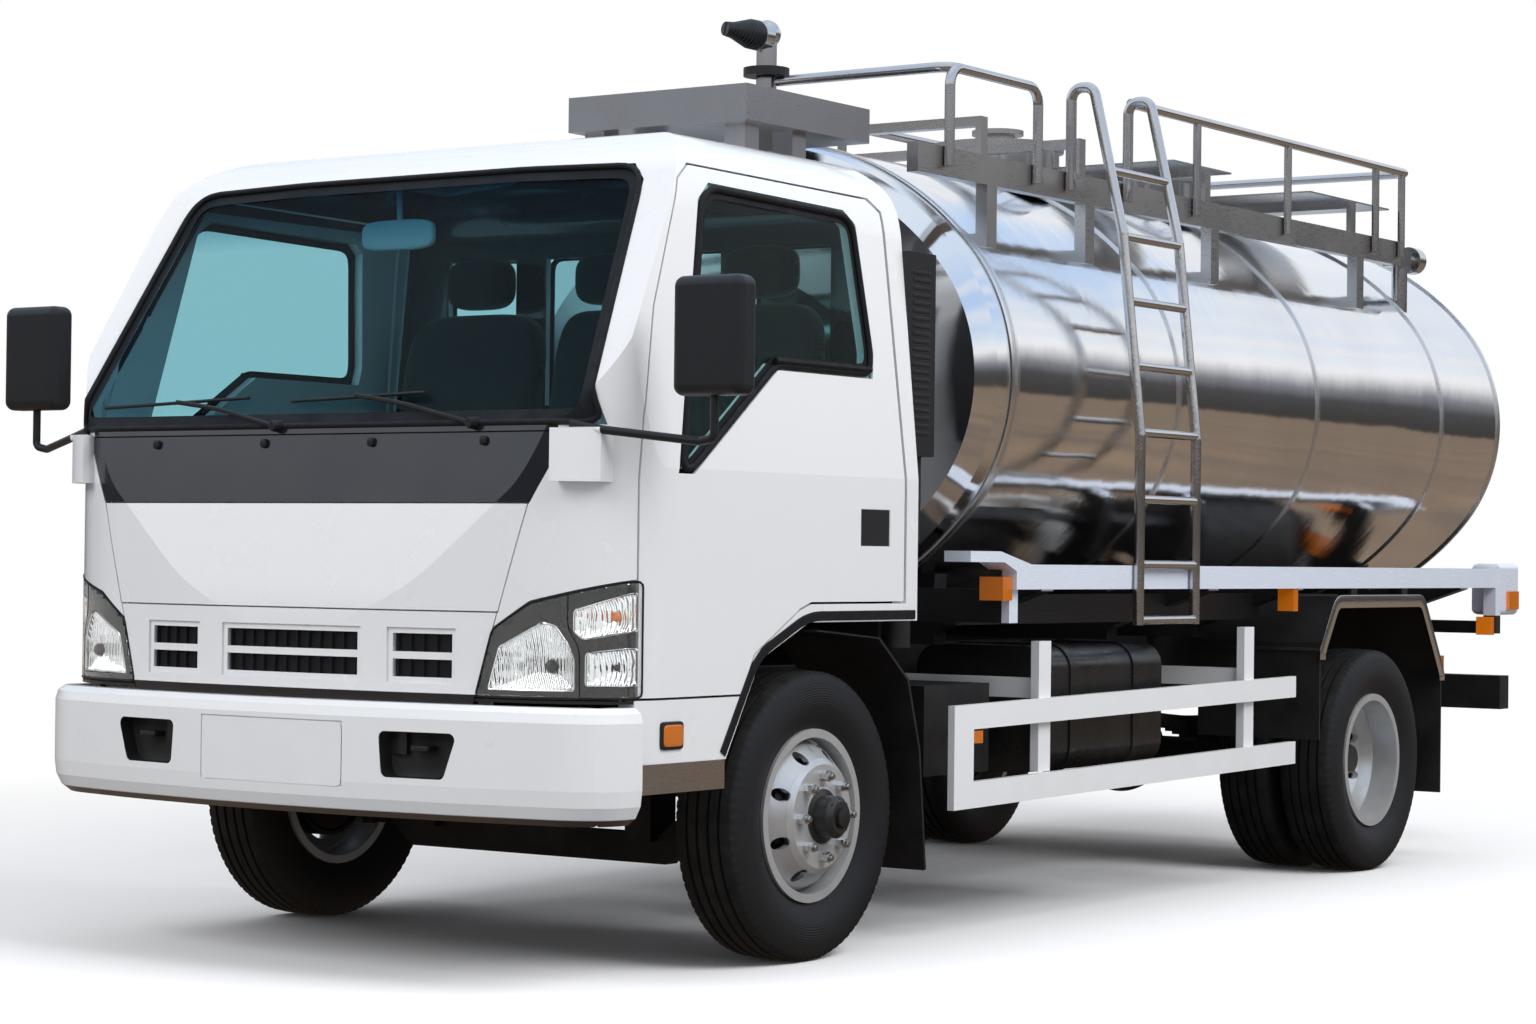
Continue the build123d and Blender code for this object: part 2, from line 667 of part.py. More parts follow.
bumper = Part()
for (z0, inset0), (z1, inset1) in zip(bumper_section, bumper_section[1:]):
    bumper += loft([Pos(0, 0, z0) * bumper_face(inset0), Pos(0, 0, z1) * bumper_face(inset1)], ruled=True)
bumper -= block(-1200, 1200, ahead(bumper_rear), ahead(0), 0, 1000)
bumper -= upright(bumper_face(bumper_thickness), bumper_bottom - 1, bumper_top + 1)
bumper -= (block(-plate_seat[0] / 2, plate_seat[0] / 2, ahead(-1200), ahead(-1000), plate_bottom,
                 plate_bottom + plate_seat[1])
           - upright(bumper_face(plate_depth), 0, 1000))
bumper -= block(-cab_half_width + 60, cab_half_width - 60, ahead(-960), ahead(bumper_rear + 1),
                bumper_bottom - 1, bumper_top + 1)
fog_pocket = [(372, 532), (362, 650), (600, 650), (560, 532)]
fog_face = fillet(make_face(Plane.XZ * Polyline(*fog_pocket, close=True)).vertices(), fog_corner)
fog_zone = Pos(0, ahead(-900), 0) * extrude(fog_face, amount=400, dir=(0, -1, 0))
bumper -= both(fog_zone) - upright(bumper_face(fog_depth), 0, 1000)
bracket_front = ahead(-front_overhang + bumper_thickness)
bumper += both(block(rail_outer_x - rail_width, rail_outer_x, bracket_front - 10, rails_front_y,
                     rail_bottom, rail_bottom + 120))
save(bumper, "bumper")

step_rear = -500
steps = both(block(cab_half_width - 180, cab_half_width + 4, ahead(bumper_rear + 4), ahead(step_rear),
                   cab_bottom_z - 76, cab_bottom_z))
save(steps, "cab_steps")

guard_line = [(-60, 905), (250, 880), (405, 760), (470, 560), (508, 215)]
sheet = 8
back_line = [(y + sheet, z + sheet / 2) for y, z in reversed(guard_line)]
mudguard = through_side(guard_line + back_line, 640, cab_half_width - 4)
mudguard += block(rail_outer_x, 660, ahead(440), ahead(490), 640, 700)
save(both(mudguard), "front_mudguards")

# ---------------------------------------------------------------- inside the cab
mount_y = (-640, 300)
mounts = both(block(spring_x - 30, spring_x + 30, ahead(mount_y[0]) - 50, ahead(mount_y[0]) + 50,
                    rail_top, tunnel_top))
mounts += both(block(spring_x - 30, spring_x + 30, ahead(mount_y[1]) - 50, ahead(mount_y[1]) + 50,
                     rail_top, cab_floor_z - 20))
frame += mounts
underrun = block(-deck_half_width, deck_half_width, rails_rear_y, rails_rear_y + underrun_depth,
                 underrun_top - underrun_height, underrun_top)
save(frame + underrun, "chassis_frame")

floor_z = cab_floor_z - 20 + cab_wall
dash_line = [(-1100, 1060), (-1100, 1425), (-760, 1425), (-640, 1330), (-720, 1080)]
dashboard = through_side(dash_line, -925, 925) & interior
save(dashboard, "dashboard")

seat_front, seat_rear = -330, 170
cushion_z = 1190
cushion_top = 1330
seats = {"driver": (300, 780), "middle": (-190, 180), "passenger": (-780, -230)}
bases, cushions, backs, headrests = Part(), Part(), Part(), Part()
for x0, x1 in seats.values():
    mid = (x0 + x1) / 2
    bases += block(x0 + 30, x1 - 30, ahead(seat_front + 30), ahead(seat_rear - 20), floor_z,
                   cushion_z - seat_gap)
    cushions += block(x0, x1, ahead(seat_front), ahead(seat_rear - 10), cushion_z, cushion_top)
    back_line = [(seat_rear - 10 + seat_gap, cushion_top - 120), (seat_rear + 90, cushion_top - 120),
                 (seat_rear + 185, 1830), (seat_rear + 85, 1850)]
    backs += through_side(back_line, x0 + 10, x1 - 10)
    headrests += through_side([(seat_rear + 90, 1860), (seat_rear + 185, 1840), (seat_rear + 200, 2000),
                               (seat_rear + 120, 2010)], mid - 125, mid + 125)
    for x in (mid - 55, mid + 55):
        headrests += rod((x, ahead(seat_rear + 135), 1800), (x, ahead(seat_rear + 150), 1900), 6)
    bases += block(mid - 20, mid + 20, ahead(seat_rear + 92), ahead(cab_rear - cab_wall), 1500, 1540) \
        - through_side([(0, 1400), (seat_rear + 90 + 185, 1400), (0, 1900)], mid - 30, mid + 30)
save(bases, "seat_bases")
save(cushions, "seat_cushions")
save(backs + headrests, "seat_backs")

wheel_x = 540
column_tilt = 32
wheel_centre = Pos(wheel_x, ahead(-560), 1405) * Rot(column_tilt, 0, 0)
steering = wheel_centre * Torus(190, 14)
steering += wheel_centre * Cylinder(34, 36)
for angle in (0, 90, 180, 270):
    steering += wheel_centre * Rot(0, 0, angle) * block(25, 182, -11, 11, -7, 7)
steering += wheel_centre * Pos(0, 0, -120) * Cylinder(28, 240)
save(steering - dashboard, "steering_wheel")

# ---------------------------------------------------------------- mirrors and wipers
mirror_y = -850
arms = bent_tube([(860, ahead(-985), 1436), (940, ahead(-960), 1420), (1165, ahead(mirror_y), 1392),
                  (1208, ahead(mirror_y), 1400), (1208, ahead(mirror_y), 1505)], 11, 18)
foot = cab_solid(-38) & block(828, 940, ahead(-1045), ahead(-860), 1290, 1424)
foot -= outer
arms -= outer
head = block(1099, 1311, ahead(mirror_y) - 42, ahead(mirror_y) + 42, 1505, 1805)
head = fillet(head.edges(), 26)
save(both(arms + foot + head), "mirrors")

wipers = Part()
for pivot_x, tip_x in ((-120, -690), (560, 0)):
    base = (pivot_x, ahead(-1022), 1440)
    tip = (tip_x + 150, ahead(-1008), 1500)
    wipers += Pos(*base) * Rot(60, 0, 0) * Cylinder(17, 70)
    wipers += bent_tube([base, ((pivot_x + tip_x) / 2, ahead(-1024), 1478), tip], 7, 60)
    wipers += rod((tip_x, ahead(-1003), 1508), (tip_x + 420, ahead(-1018), 1478), 6)
wipers -= cab_solid(0)
save(wipers, "wipers")

# ---------------------------------------------------------------- tank
tank_front_y = ahead(tank_front)
tank_rear_y = tank_front_y + tank_length
side_centre = tank_half_width - tank_side_radius
crown_radius = ((side_centre ** 2 + tank_half_height ** 2 - tank_side_radius ** 2)
                / (2 * (tank_half_height - tank_side_radius)))
crown_drop = crown_radius - tank_half_height


def oval(inset=0):
    """The tank's section in X and Z: two tight side arcs and two wide arcs, all drawn in together."""
    side_r, crown_r = tank_side_radius - inset, crown_radius - inset
    lean = atan2(crown_drop, side_centre)
    jx, jz = side_centre + side_r * cos(lean), side_r * sin(lean)
    top_z, right_x = crown_r - crown_drop, side_centre + side_r
    outline = [
        ThreePointArc((-jx, jz), (0, top_z), (jx, jz)),
        ThreePointArc((jx, jz), (right_x, 0), (jx, -jz)),
        ThreePointArc((jx, -jz), (0, -top_z), (-jx, -jz)),
        ThreePointArc((-jx, -jz), (-right_x, 0), (-jx, jz)),
    ]
    return make_face(outline)


def tank_slice(inset, y):
    """The tank's section, drawn in, at a place along the truck."""
    return Plane((0, y, tank_axis_z), x_dir=(1, 0, 0), z_dir=(0, -1, 0)) * oval(inset)


def tank_prism(y0, y1, inset=0):
    """A straight length of the tank's section."""
    return extrude(tank_slice(inset, y1), amount=y1 - y0, dir=(0, -1, 0))


dish_steps = [(0, 0), (16, 0.30), (70, 0.62), (190, 0.85), (420, 1.0)]
tank = tank_prism(tank_front_y, tank_rear_y)
for (in_a, out_a), (in_b, out_b) in zip(dish_steps, dish_steps[1:]):
    for end_y, way in ((tank_front_y, -1), (tank_rear_y, 1)):
        near = tank_slice(in_a, end_y + way * out_a * dish_depth)
        far = tank_slice(in_b, end_y + way * out_b * dish_depth)
        tank += loft([near, far], ruled=True)
band_places = [0, 34, 1090, 2150, 3260, tank_length - band_width]
bands = Part()
for place in band_places:
    y = tank_front_y + place
    bands += tank_prism(y, y + band_width, -band_height) - tank_prism(y - 1, y + band_width + 1)
tank += bands

saddle_places = (1190, 2300, 2950, 4420)
saddle_length = 70
runner_height = 60
crossbeam_z = rail_top + runner_height
saddle_half_width = 620
saddles = both(block(rail_outer_x - rail_width, rail_outer_x, ahead(1060), rails_rear_y,
                     rail_top, rail_top + runner_height))
for place in saddle_places:
    cradle = block(-saddle_half_width, saddle_half_width, ahead(place) - saddle_length / 2,
                   ahead(place) + saddle_length / 2, crossbeam_z, 1060)
    saddles += cradle - tank
save(saddles, "tank_saddles")

# ---------------------------------------------------------------- deck frame beside the tank
deck_front_y = ahead(deck_front)
deck_rear_y = ahead(deck_rear)
side_rail_x = deck_half_width - side_rail_width
side_rail_bottom = side_rail_top - side_rail_height
stringer_top = side_rail_bottom - 20
stringer_rear = wheelbase - stringer_end_gap
deck = both(block(side_rail_x, deck_half_width, deck_front_y, deck_rear_y, side_rail_bottom, side_rail_top))
for place in saddle_places:
    arm = [(saddle_half_width, 880), (side_rail_x, side_rail_bottom - 6), (side_rail_x, side_rail_top - 10),
           (side_rail_x - 100, side_rail_top - 10), (side_rail_x - 220, 1046), (saddle_half_width, 1000)]
    face = make_face(Plane.XZ * Polyline(*arm, close=True))
    deck += both(Pos(0, ahead(place) + saddle_length / 2, 0)
                 * extrude(face, amount=saddle_length, dir=(0, -1, 0)))
crossbeam_front_y = rails_rear_y - crossbeam_length
deck += block(-deck_half_width, deck_half_width, crossbeam_front_y, rails_rear_y, crossbeam_z,
              crossbeam_z + crossbeam_height)
deck += both(block(side_rail_x, deck_half_width, crossbeam_front_y, rails_rear_y, crossbeam_z,
                   side_rail_bottom))
wedge = [(655, 1098), (655, 1130), (827, 1130), (1010, side_rail_top), (deck_front, side_rail_top - 20),
         (850, 1098)]
deck += both(through_side(wedge, side_rail_x - 40, deck_half_width))
deck += both(block(stringer_x - stringer_width / 2, stringer_x + stringer_width / 2, deck_front_y,
                   ahead(stringer_rear), stringer_top - stringer_depth, stringer_top))
deck += both(block(rail_outer_x + 60, side_rail_x + side_rail_width / 2, deck_front_y,
                   deck_front_y + crossbeam_length, side_rail_bottom - 100, side_rail_bottom))
cap_top = side_rail_top + 20
cap = block(deck_half_width - cap_width, deck_half_width + cap_proud, deck_rear_y - 160, deck_rear_y + 80,
            cap_top - cap_height, cap_top)
cap = fillet(cap.edges().filter_by(Axis.Z).sort_by(lambda e: e.center().X + e.center().Y)[-1:], cap_radius)
cap = fillet(cap.faces().sort_by(Axis.Z)[-1].edges() + cap.faces().sort_by(Axis.Z)[0].edges(), cap_edge)
deck += both(cap)
deck -= tank
save(deck, "deck_frame")

# ---------------------------------------------------------------- walkway, handrails, ladder, manholes
walk_top = walk_beam_bottom + walk_beam_height
inner_beam_front_y, walk_rear_y = ahead(inner_beam_front), ahead(walk_rear)
crown_top = tank_axis_z + tank_half_height
inner_beam_bottom = 2400
tread_z = 2470
tread_sheet = 6
walk = block(walk_outer_x - walk_beam_width, walk_outer_x, ahead(walk_front), walk_rear_y,
             walk_beam_bottom, walk_top)
walk += block(walk_inner_x, walk_inner_x + walk_beam_width, inner_beam_front_y, walk_rear_y,
              inner_beam_bottom, tread_z)
post_rows = (1190, 1810, 2700, 3900)
for place in post_rows:
    y = ahead(place)
    walk += block(walk_outer_x - walk_beam_width, walk_outer_x, y - 30, y + 30, 1990, walk_beam_bottom)
    walk += block(walk_inner_x, walk_outer_x - walk_beam_width + 10, y - 20, y + 20, tread_z - 30, tread_z)
    walk += block(walk_outer_x - walk_beam_width - 10, walk_outer_x - walk_beam_width + 10, y - 20, y + 20,
                  walk_top - 20, tread_z)
    walk += block(walk_inner_x, walk_inner_x + walk_beam_width, y - 20, y + 20, 2300, inner_beam_bottom)
walk -= tank
for place0, place1 in ((2480, 2920), (3560, walk_rear)):
    walk += block(walk_inner_x, walk_outer_x - walk_beam_width - 10, ahead(place0), ahead(place1), tread_z,
                  tread_z + tread_sheet)
save(walk, "walkway")

rails = Part()
outer_rail_x = walk_outer_x + handrail_radius
inner_rail_x = walk_inner_x - handrail_radius
post_z = walk_beam_bottom + 30
bend = 55
front_post, gap_post = 910, 1440
post_outer_x = walk_outer_x + post_radius + seat_gap
post_inner_x = walk_inner_x - post_radius - seat_gap
pipe_x, pipe_y, pipe_radius = 135, front_post, 42
rails += bent_tube([(outer_rail_x, ahead(gap_post), post_z), (outer_rail_x, ahead(gap_post), front_gate_z),
                    (outer_rail_x, ahead(front_post), front_gate_z),
                    (outer_rail_x, ahead(front_post), post_z)], handrail_radius, bend)
rails += bent_tube([(outer_rail_x, ahead(front_post + 2 * bend), front_gate_z),
                    (outer_rail_x, ahead(front_post), front_gate_z),
                    (pipe_x + pipe_radius + seat_gap, ahead(front_post), front_gate_z)],
                   handrail_radius, bend)
rear_post = 4300
ladder_rear = ladder_front + ladder_width
rails += bent_tube([(outer_rail_x, ahead(ladder_rear) + ladder_radius + seat_gap, handrail_z),
                    (outer_rail_x, ahead(rear_post), handrail_z),
                    (inner_rail_x, ahead(rear_post), handrail_z),
                    (inner_rail_x, ahead(ladder_rear), handrail_z),
                    (inner_rail_x, ahead(ladder_rear), inner_beam_bottom + 20)], handrail_radius, bend)
for place in (2530, 3240, 4000):
    rails += rod((post_outer_x, ahead(place), post_z), (post_outer_x, ahead(place), handrail_z), post_radius)
    rails += rod((post_inner_x, ahead(place), inner_beam_bottom + 20),
                 (post_inner_x, ahead(place), handrail_z), post_radius)
rails += rod((post_outer_x, ahead(rear_post - 60), post_z), (post_outer_x, ahead(rear_post - 60), handrail_z),
             post_radius)

ladder_x = deck_half_width + ladder_radius
ladder_top_x = walk_outer_x + ladder_radius + seat_gap
ladder = Part()
lean_z, lean_end_z, lean = 1500, 2140, 70       # the stiles lean in by this much between these heights
ladder_hook = 80        # between a stile's top and its inner leg
hook_x = ladder_top_x + ladder_hook
for place in (ladder_front, ladder_rear):
    y = ahead(place)
    ladder += bent_tube([(ladder_x, y, ladder_bottom), (ladder_x, y, lean_z),
                         (ladder_x - lean, y, lean_end_z), (hook_x, y, handrail_z),
                         (ladder_top_x, y, handrail_z), (ladder_top_x, y, post_z)], ladder_radius, 38)
rung_z = (920, 1095, 1300, 1510, 1720, 1925, 2130, 2340)
for z in rung_z:
    x = ladder_x
    if z > lean_end_z:
        share = (z - lean_end_z) / (handrail_z - lean_end_z)
        x = (ladder_x - lean) * (1 - share) + hook_x * share
    elif z > lean_z:
        x = ladder_x - lean * (z - lean_z) / (lean_end_z - lean_z)
    ladder += rod((x, ahead(ladder_front), z), (x, ahead(ladder_rear), z), 14)
save(ladder, "ladder")
save(rails, "handrails")

manhole_x = 240
manholes = {"front": (2150, 210), "rear": (3250, 190)}
hinge_z = 2502
hinge_pin_radius = 6
necks = Part()
for name, (place, radius) in manholes.items():
    at = Pos(manhole_x, ahead(place), 0)
    necks += at * Pos(0, 0, 2430) * (Cylinder(radius, 120) - Cylinder(radius - 12, 121))
    lid = at * Pos(0, 0, 2490 + 12 + seat_gap) * Cylinder(radius + 16, 24)
    lid += at * Pos(0, 0, 2514 + 18) * Cylinder(60, 36)
    lid += at * Pos(0, 0, 2550 + 8) * Cylinder(88, 16)
    hinge_y = radius + 40
    lid += at * block(-24, 24, radius - 10, hinge_y, 2490 + seat_gap, 2514)
    lid += at * Pos(0, hinge_y, hinge_z) * Rot(0, 90, 0) * Cylinder(11, 48)
    lid -= at * Pos(0, hinge_y, hinge_z) * Rot(0, 90, 0) * Cylinder(hinge_pin_radius + pin_clearance, 60)
    save(lid, f"manhole_lid_{name}")
    for x0, x1 in ((-50, -30), (30, 50)):
        necks += at * block(x0, x1, radius - 8, hinge_y + 16, 2420, 2484)
        necks += at * block(x0, x1, radius + 24, hinge_y + 16, 2484, 2520)
    necks += at * Pos(0, hinge_y, hinge_z) * Rot(0, 90, 0) * Cylinder(hinge_pin_radius, 100)
necks -= tank
save(tank + necks, "tank_shell")

# ---------------------------------------------------------------- spray head and its tray over the cab
tray_x0, tray_x1 = 28, 662
tray_front, tray_rear = 52, 690
tray_bottom, tray_top = 2336, 2438
tray = block(tray_x0, tray_x1, ahead(tray_front), ahead(tray_rear), tray_bottom, tray_top)
tray -= block(tray_x0 + 4, tray_x1 - 4, ahead(tray_front + 4), ahead(tray_rear - 4), tray_bottom + 4,
              tray_top + 1)
for x0, x1 in ((560, 630), (60, 130)):
    for place in (90, 330):
        tray += block(x0, x1, ahead(place), ahead(place + 70), 2200, tray_bottom)
tray -= cab_solid(0)
save(tray, "roof_tray")

head_z = 2560
collar_z = front_gate_z + handrail_radius + 14
spray = Pos(pipe_x, ahead(pipe_y), (2100 + head_z) / 2) * Cylinder(pipe_radius, head_z - 2100)
spray += Pos(pipe_x, ahead(pipe_y), collar_z) * Cylinder(72, 26)
spray += Pos(pipe_x, ahead(pipe_y), head_z + 100) * Cylinder(32, 200)
spray += Pos(pipe_x, ahead(pipe_y), head_z + 175) * Sphere(44)
cone = turned_x([(0, 0), (0, 48), (70, 46), (130, 26), (160, 22), (160, 0)])
spray += Pos(pipe_x, ahead(pipe_y), head_z + 165) * Rot(0, 12, 0) * Rot(0, 0, -110) * cone
spray += rod((pipe_x, ahead(pipe_y), 2300), (pipe_x, ahead(1150), 2250), 42)
spray -= tank
save(spray, "spray_head")

# ---------------------------------------------------------------- rear valve, guards and boxes
valve_x = outer_rail_x - 60
valve_z = 2290
valve_rear = walk_rear + 150
valve = block(valve_x - 30, valve_x + 30, ahead(walk_rear), ahead(walk_rear + 130), walk_beam_bottom, 2320)
valve += Pos(valve_x, ahead(walk_rear + 90), 2180) * Cylinder(30, 200)
valve += Pos(valve_x, ahead(valve_rear + 50), valve_z) * Rot(90, 0, 0) * Cylinder(52, 60)
valve += Pos(valve_x, ahead(valve_rear), valve_z) * Rot(90, 0, 0) * Cylinder(22, 120)
valve -= tank
save(valve, "rear_valve")

guard_x = deck_half_width
guard_slope = 0.0147
guard_depth = 22
guard_bottom, guard_top = 384, 684          # at its front end
side_guard_front, side_guard_rear = 576, 2830
guard_end_rear = 684        # the plate that closes its front end
guard = Part()


def guard_bar(y0, y1, z0, z1, x0, x1):
    """A bar of the side guard, rising gently to the rear."""
    rise0, rise1 = (y0 - side_guard_front) * guard_slope, (y1 - side_guard_front) * guard_slope
    return through_side([(y0, z0 + rise0), (y1, z0 + rise1), (y1, z1 + rise1), (y0, z1 + rise0)], x0, x1)


guard += guard_bar(side_guard_front, side_guard_rear, 612, guard_top, guard_x - guard_depth, guard_x)
guard += guard_bar(side_guard_front, side_guard_rear, guard_bottom, 460, guard_x - guard_depth, guard_x)
guard += guard_bar(side_guard_front, guard_end_rear, guard_bottom, guard_top, guard_x - guard_depth, guard_x)
for place, post_top in ((1132, 862), (2511, 889)):
    guard += block(guard_x - 50, guard_x - guard_depth, ahead(place - 36), ahead(place + 36), 470, post_top)
    guard += block(rail_outer_x, guard_x - 40, ahead(place - 20), ahead(place + 20), 690, 750)
save(both(guard), "side_guards")

fuel_front, fuel_rear = 1290, 2060
fuel_face = fillet(make_face(Plane.XZ * Pos(705, 645) * Rectangle(460, 390)).vertices(), 75)
fuel = Pos(0, ahead(fuel_rear), 0) * extrude(fuel_face, amount=fuel_rear - fuel_front, dir=(0, -1, 0))
strap_face = offset(fuel_face, 5)
straps = Part()
for place in (1470, 1880):
    ring = Pos(0, ahead(place) + 22, 0) * extrude(strap_face - fuel_face, amount=44, dir=(0, -1, 0))
    straps += ring
    straps += block(rail_outer_x, 470, ahead(place) - 22, ahead(place) + 22, 600, 760)
save(fuel + straps, "fuel_tank")

battery = block(470, 900, ahead(650), ahead(1020), 470, 735)
battery += block(rail_outer_x, 480, ahead(700), ahead(760), 620, 700)
battery += block(rail_outer_x, 480, ahead(920), ahead(980), 620, 700)
save(battery, "battery_box")

snorkel = block(820, 955, ahead(cab_rear), ahead(600), 1400, 1985)
snorkel += block(840, 930, ahead(cab_rear), ahead(570), 1150, 1400)
hose = Pos(885, ahead(cab_rear + 62), 1000) * Cylinder(46, 300)
save(snorkel + hose, "air_intake")

# ---------------------------------------------------------------- rear mudguards, flaps, bumper bar and lamps
guard_front, guard_rear = wheelbase - 510, wheelbase + 575
fender_inner_x, fender_outer_x = 560, 1056
rear_guard_line = [(guard_front, 800), (wheelbase - 380, 990), (wheelbase + 380, 990), (guard_rear, 700)]
back = [(y, z - sheet) for y, z in reversed(rear_guard_line)]
back[0] = (guard_rear - sheet, 700)
back[-1] = (guard_front + sheet, 800)
fender = through_side(rear_guard_line + back, fender_inner_x, fender_outer_x)
for place in (wheelbase - 220, wheelbase + 220):
    fender += block(side_rail_x, deck_half_width, ahead(place) - 25, ahead(place) + 25, 990, side_rail_bottom)
flaps = Part()
for y, z0, z1 in ((ahead(guard_front) + sheet, 490, 830), (ahead(guard_rear) - 2 * sheet, 252, 730)):
    flaps += both(block(fender_inner_x + 20, deck_half_width, y, y + sheet, z0, z1))
save(both(fender) + flaps, "rear_mudguards")

lamp_boxes = [      # corners in X, then in Y, then in Z
    (600, 780, rails_rear_y + underrun_depth - 50, rails_rear_y + underrun_depth,
     underrun_top + seat_gap, underrun_top + 70),
    (deck_half_width + cap_proud + seat_gap, deck_half_width + 14, deck_rear_y - 85, deck_rear_y + 15,
     933, 1004),
    (955, 1035, deck_front_y - 55, deck_front_y - seat_gap, 985, 1055),
    (985, 1045, ahead(side_guard_rear - 15), ahead(side_guard_rear + 20), 940, side_rail_bottom - seat_gap),
    (985, 1045, crossbeam_front_y - 35, crossbeam_front_y - seat_gap, 835, 905),
    (guard_x - 20, guard_x - 4, ahead(guard_end_rear) + seat_gap, ahead(742), 572, 608),
]
lamps = Part()
for corners in lamp_boxes:
    lamps += both(block(*corners))
save(lamps, "marker_lamps")
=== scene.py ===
"""Tanker truck: finishes, fine pieces and studio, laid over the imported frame.

Metres, +Z up; the truck faces -Y, its left side is +X, and the origin is on the ground at its middle.
"""

import bmesh
import bpy
import numpy as np
from bpy.props import BoolProperty, FloatProperty, FloatVectorProperty, IntProperty, PointerProperty
from mathutils import Matrix, Vector
from mathutils.geometry import delaunay_2d_cdt


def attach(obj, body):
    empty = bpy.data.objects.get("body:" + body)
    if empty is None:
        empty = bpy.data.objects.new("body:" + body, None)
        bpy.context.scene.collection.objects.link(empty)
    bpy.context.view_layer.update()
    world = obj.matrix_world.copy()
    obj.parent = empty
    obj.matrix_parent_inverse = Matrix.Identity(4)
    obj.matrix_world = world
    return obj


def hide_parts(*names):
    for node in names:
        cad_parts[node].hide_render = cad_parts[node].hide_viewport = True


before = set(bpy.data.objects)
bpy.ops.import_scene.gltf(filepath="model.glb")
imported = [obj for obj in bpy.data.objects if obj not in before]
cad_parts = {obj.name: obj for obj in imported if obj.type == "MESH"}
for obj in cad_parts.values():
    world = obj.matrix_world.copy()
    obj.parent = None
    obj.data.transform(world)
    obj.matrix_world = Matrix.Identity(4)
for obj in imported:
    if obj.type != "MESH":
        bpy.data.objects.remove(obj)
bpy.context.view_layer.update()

bl_info = {
    "name": "Tanker truck",
    "version": (1, 0, 0),
    "blender": (4, 5, 0),
    "location": "View3D > Sidebar > Truck",
    "description": "Finishes, fine pieces and studio for the tanker truck",
    "category": "Object",
}

FRONT_AXLE = -1.935
REAR_AXLE = 1.585
AXLE_Z = 0.3985                          # the tyres' radius
FRONT_FACE, REAR_FACE = 0.980, 0.830     # x of the wheels' outer faces
FRONT_TYRE_X, REAR_TYRES_X = (0.860,), (0.940, 0.700)


def ahead(distance):
    """Y of a place this far behind the front axle."""
    return FRONT_AXLE + distance


# ---------------------------------------------------------------- the cab's outer surface
def eased(corners, steps=6):
    """Two arrays along a line of (a, b, bend radius) corners, each bend drawn as a true arc."""
    line = []
    for index, (a, b, radius) in enumerate(corners):
        corner = np.array([a, b])
        if not radius:
            line.append(corner)
            continue
        ways = [np.array(corners[index + step][:2]) - corner for step in (-1, 1)]
        back, on = (way / np.linalg.norm(way) for way in ways)
        half = np.arccos(np.dot(back, on)) / 2
        middle = corner + (back + on) / np.linalg.norm(back + on) * radius / np.sin(half)
        share = np.linspace(0, 1, steps + 1)[:, None]
        chord = corner + (back * (1 - share) + on * share) * radius / np.tan(half) - middle
        line.extend(middle + chord / np.linalg.norm(chord, axis=1)[:, None] * radius)
    return np.array(line).T


PLAN_X, PLAN_Y = eased([(-0.38, -1.066, 0), (0, -1.08, 4.0), (0.38, -1.066, 2.5), (0.76, -1.017, 0.5),
                        (0.88, -0.965, 0.3), (0.965, -0.89, 0.2), (1.0, -0.80, 0.2), (1.0, -0.6, 0)])
SIDE_Z, SIDE_Y = eased([(0.578, -1.08, 0), (0.76, -1.08, 0), (0.96, -1.072, 1.0), (1.237, -1.03, 0),
                        (1.432, -1.0, 0), (2.15, -0.598, 0.2), (2.232, -0.48, 0.3), (2.285, -0.15, 0)])
FACE_Z, FACE_X = eased([(0.5, 1.0, 0), (1.33, 1.0, 0), (2.06, 0.928, 0.4), (2.16, 0.895, 0.15),
                        (2.225, 0.81, 0)])


def front_y(x, z):
    """Y of the cab's front at (x, z): the rearward one of the bowed plan line and the leaning side line."""
    plan = np.interp(np.abs(x), PLAN_X, PLAN_Y)
    side = np.interp(z, SIDE_Z, SIDE_Y)
    return FRONT_AXLE + np.maximum(plan, side)


def side_x(z):
    """X of the cab's flank at height z: upright to the waist, then leaning in."""
    return np.interp(z, FACE_Z, FACE_X)


# ---------------------------------------------------------------- surfaces
def grid_faces(rows, cols, wrap_rows=False, wrap_cols=False):
    """Each face joins the points (i, j), (i, j+1), (i+1, j+1), (i+1, j), wrapping round where asked."""
    index = np.arange(rows * cols).reshape(rows, cols)
    if wrap_rows:
        index = np.vstack([index, index[:1]])
    if wrap_cols:
        index = np.hstack([index, index[:, :1]])
    return np.stack([index[:-1, :-1], index[:-1, 1:], index[1:, 1:], index[1:, :-1]], -1).reshape(-1, 4)


def surface(points, wrap_rows=False, wrap_cols=False, flip=False):
    """A grid of points (rows, cols, 3) as a vertex array and its faces."""
    points = np.asarray(points, float)
    faces = grid_faces(points.shape[0], points.shape[1], wrap_rows, wrap_cols)
    return points.reshape(-1, 3), (faces[:, ::-1] if flip else faces)


def frames_across(path, closed, up):
    """Two unit vectors across the path at each point: the path's direction crossed with up, and the third."""
    onward = np.roll(path, -1, 0) - np.roll(path, 1, 0)
    if not closed:
        onward[0], onward[-1] = path[1] - path[0], path[-1] - path[-2]
    along = onward / np.linalg.norm(onward, axis=1, keepdims=True)
    across = np.cross(along, up)
    across /= np.linalg.norm(across, axis=1, keepdims=True) + 1e-12
    return across, np.cross(across, along)


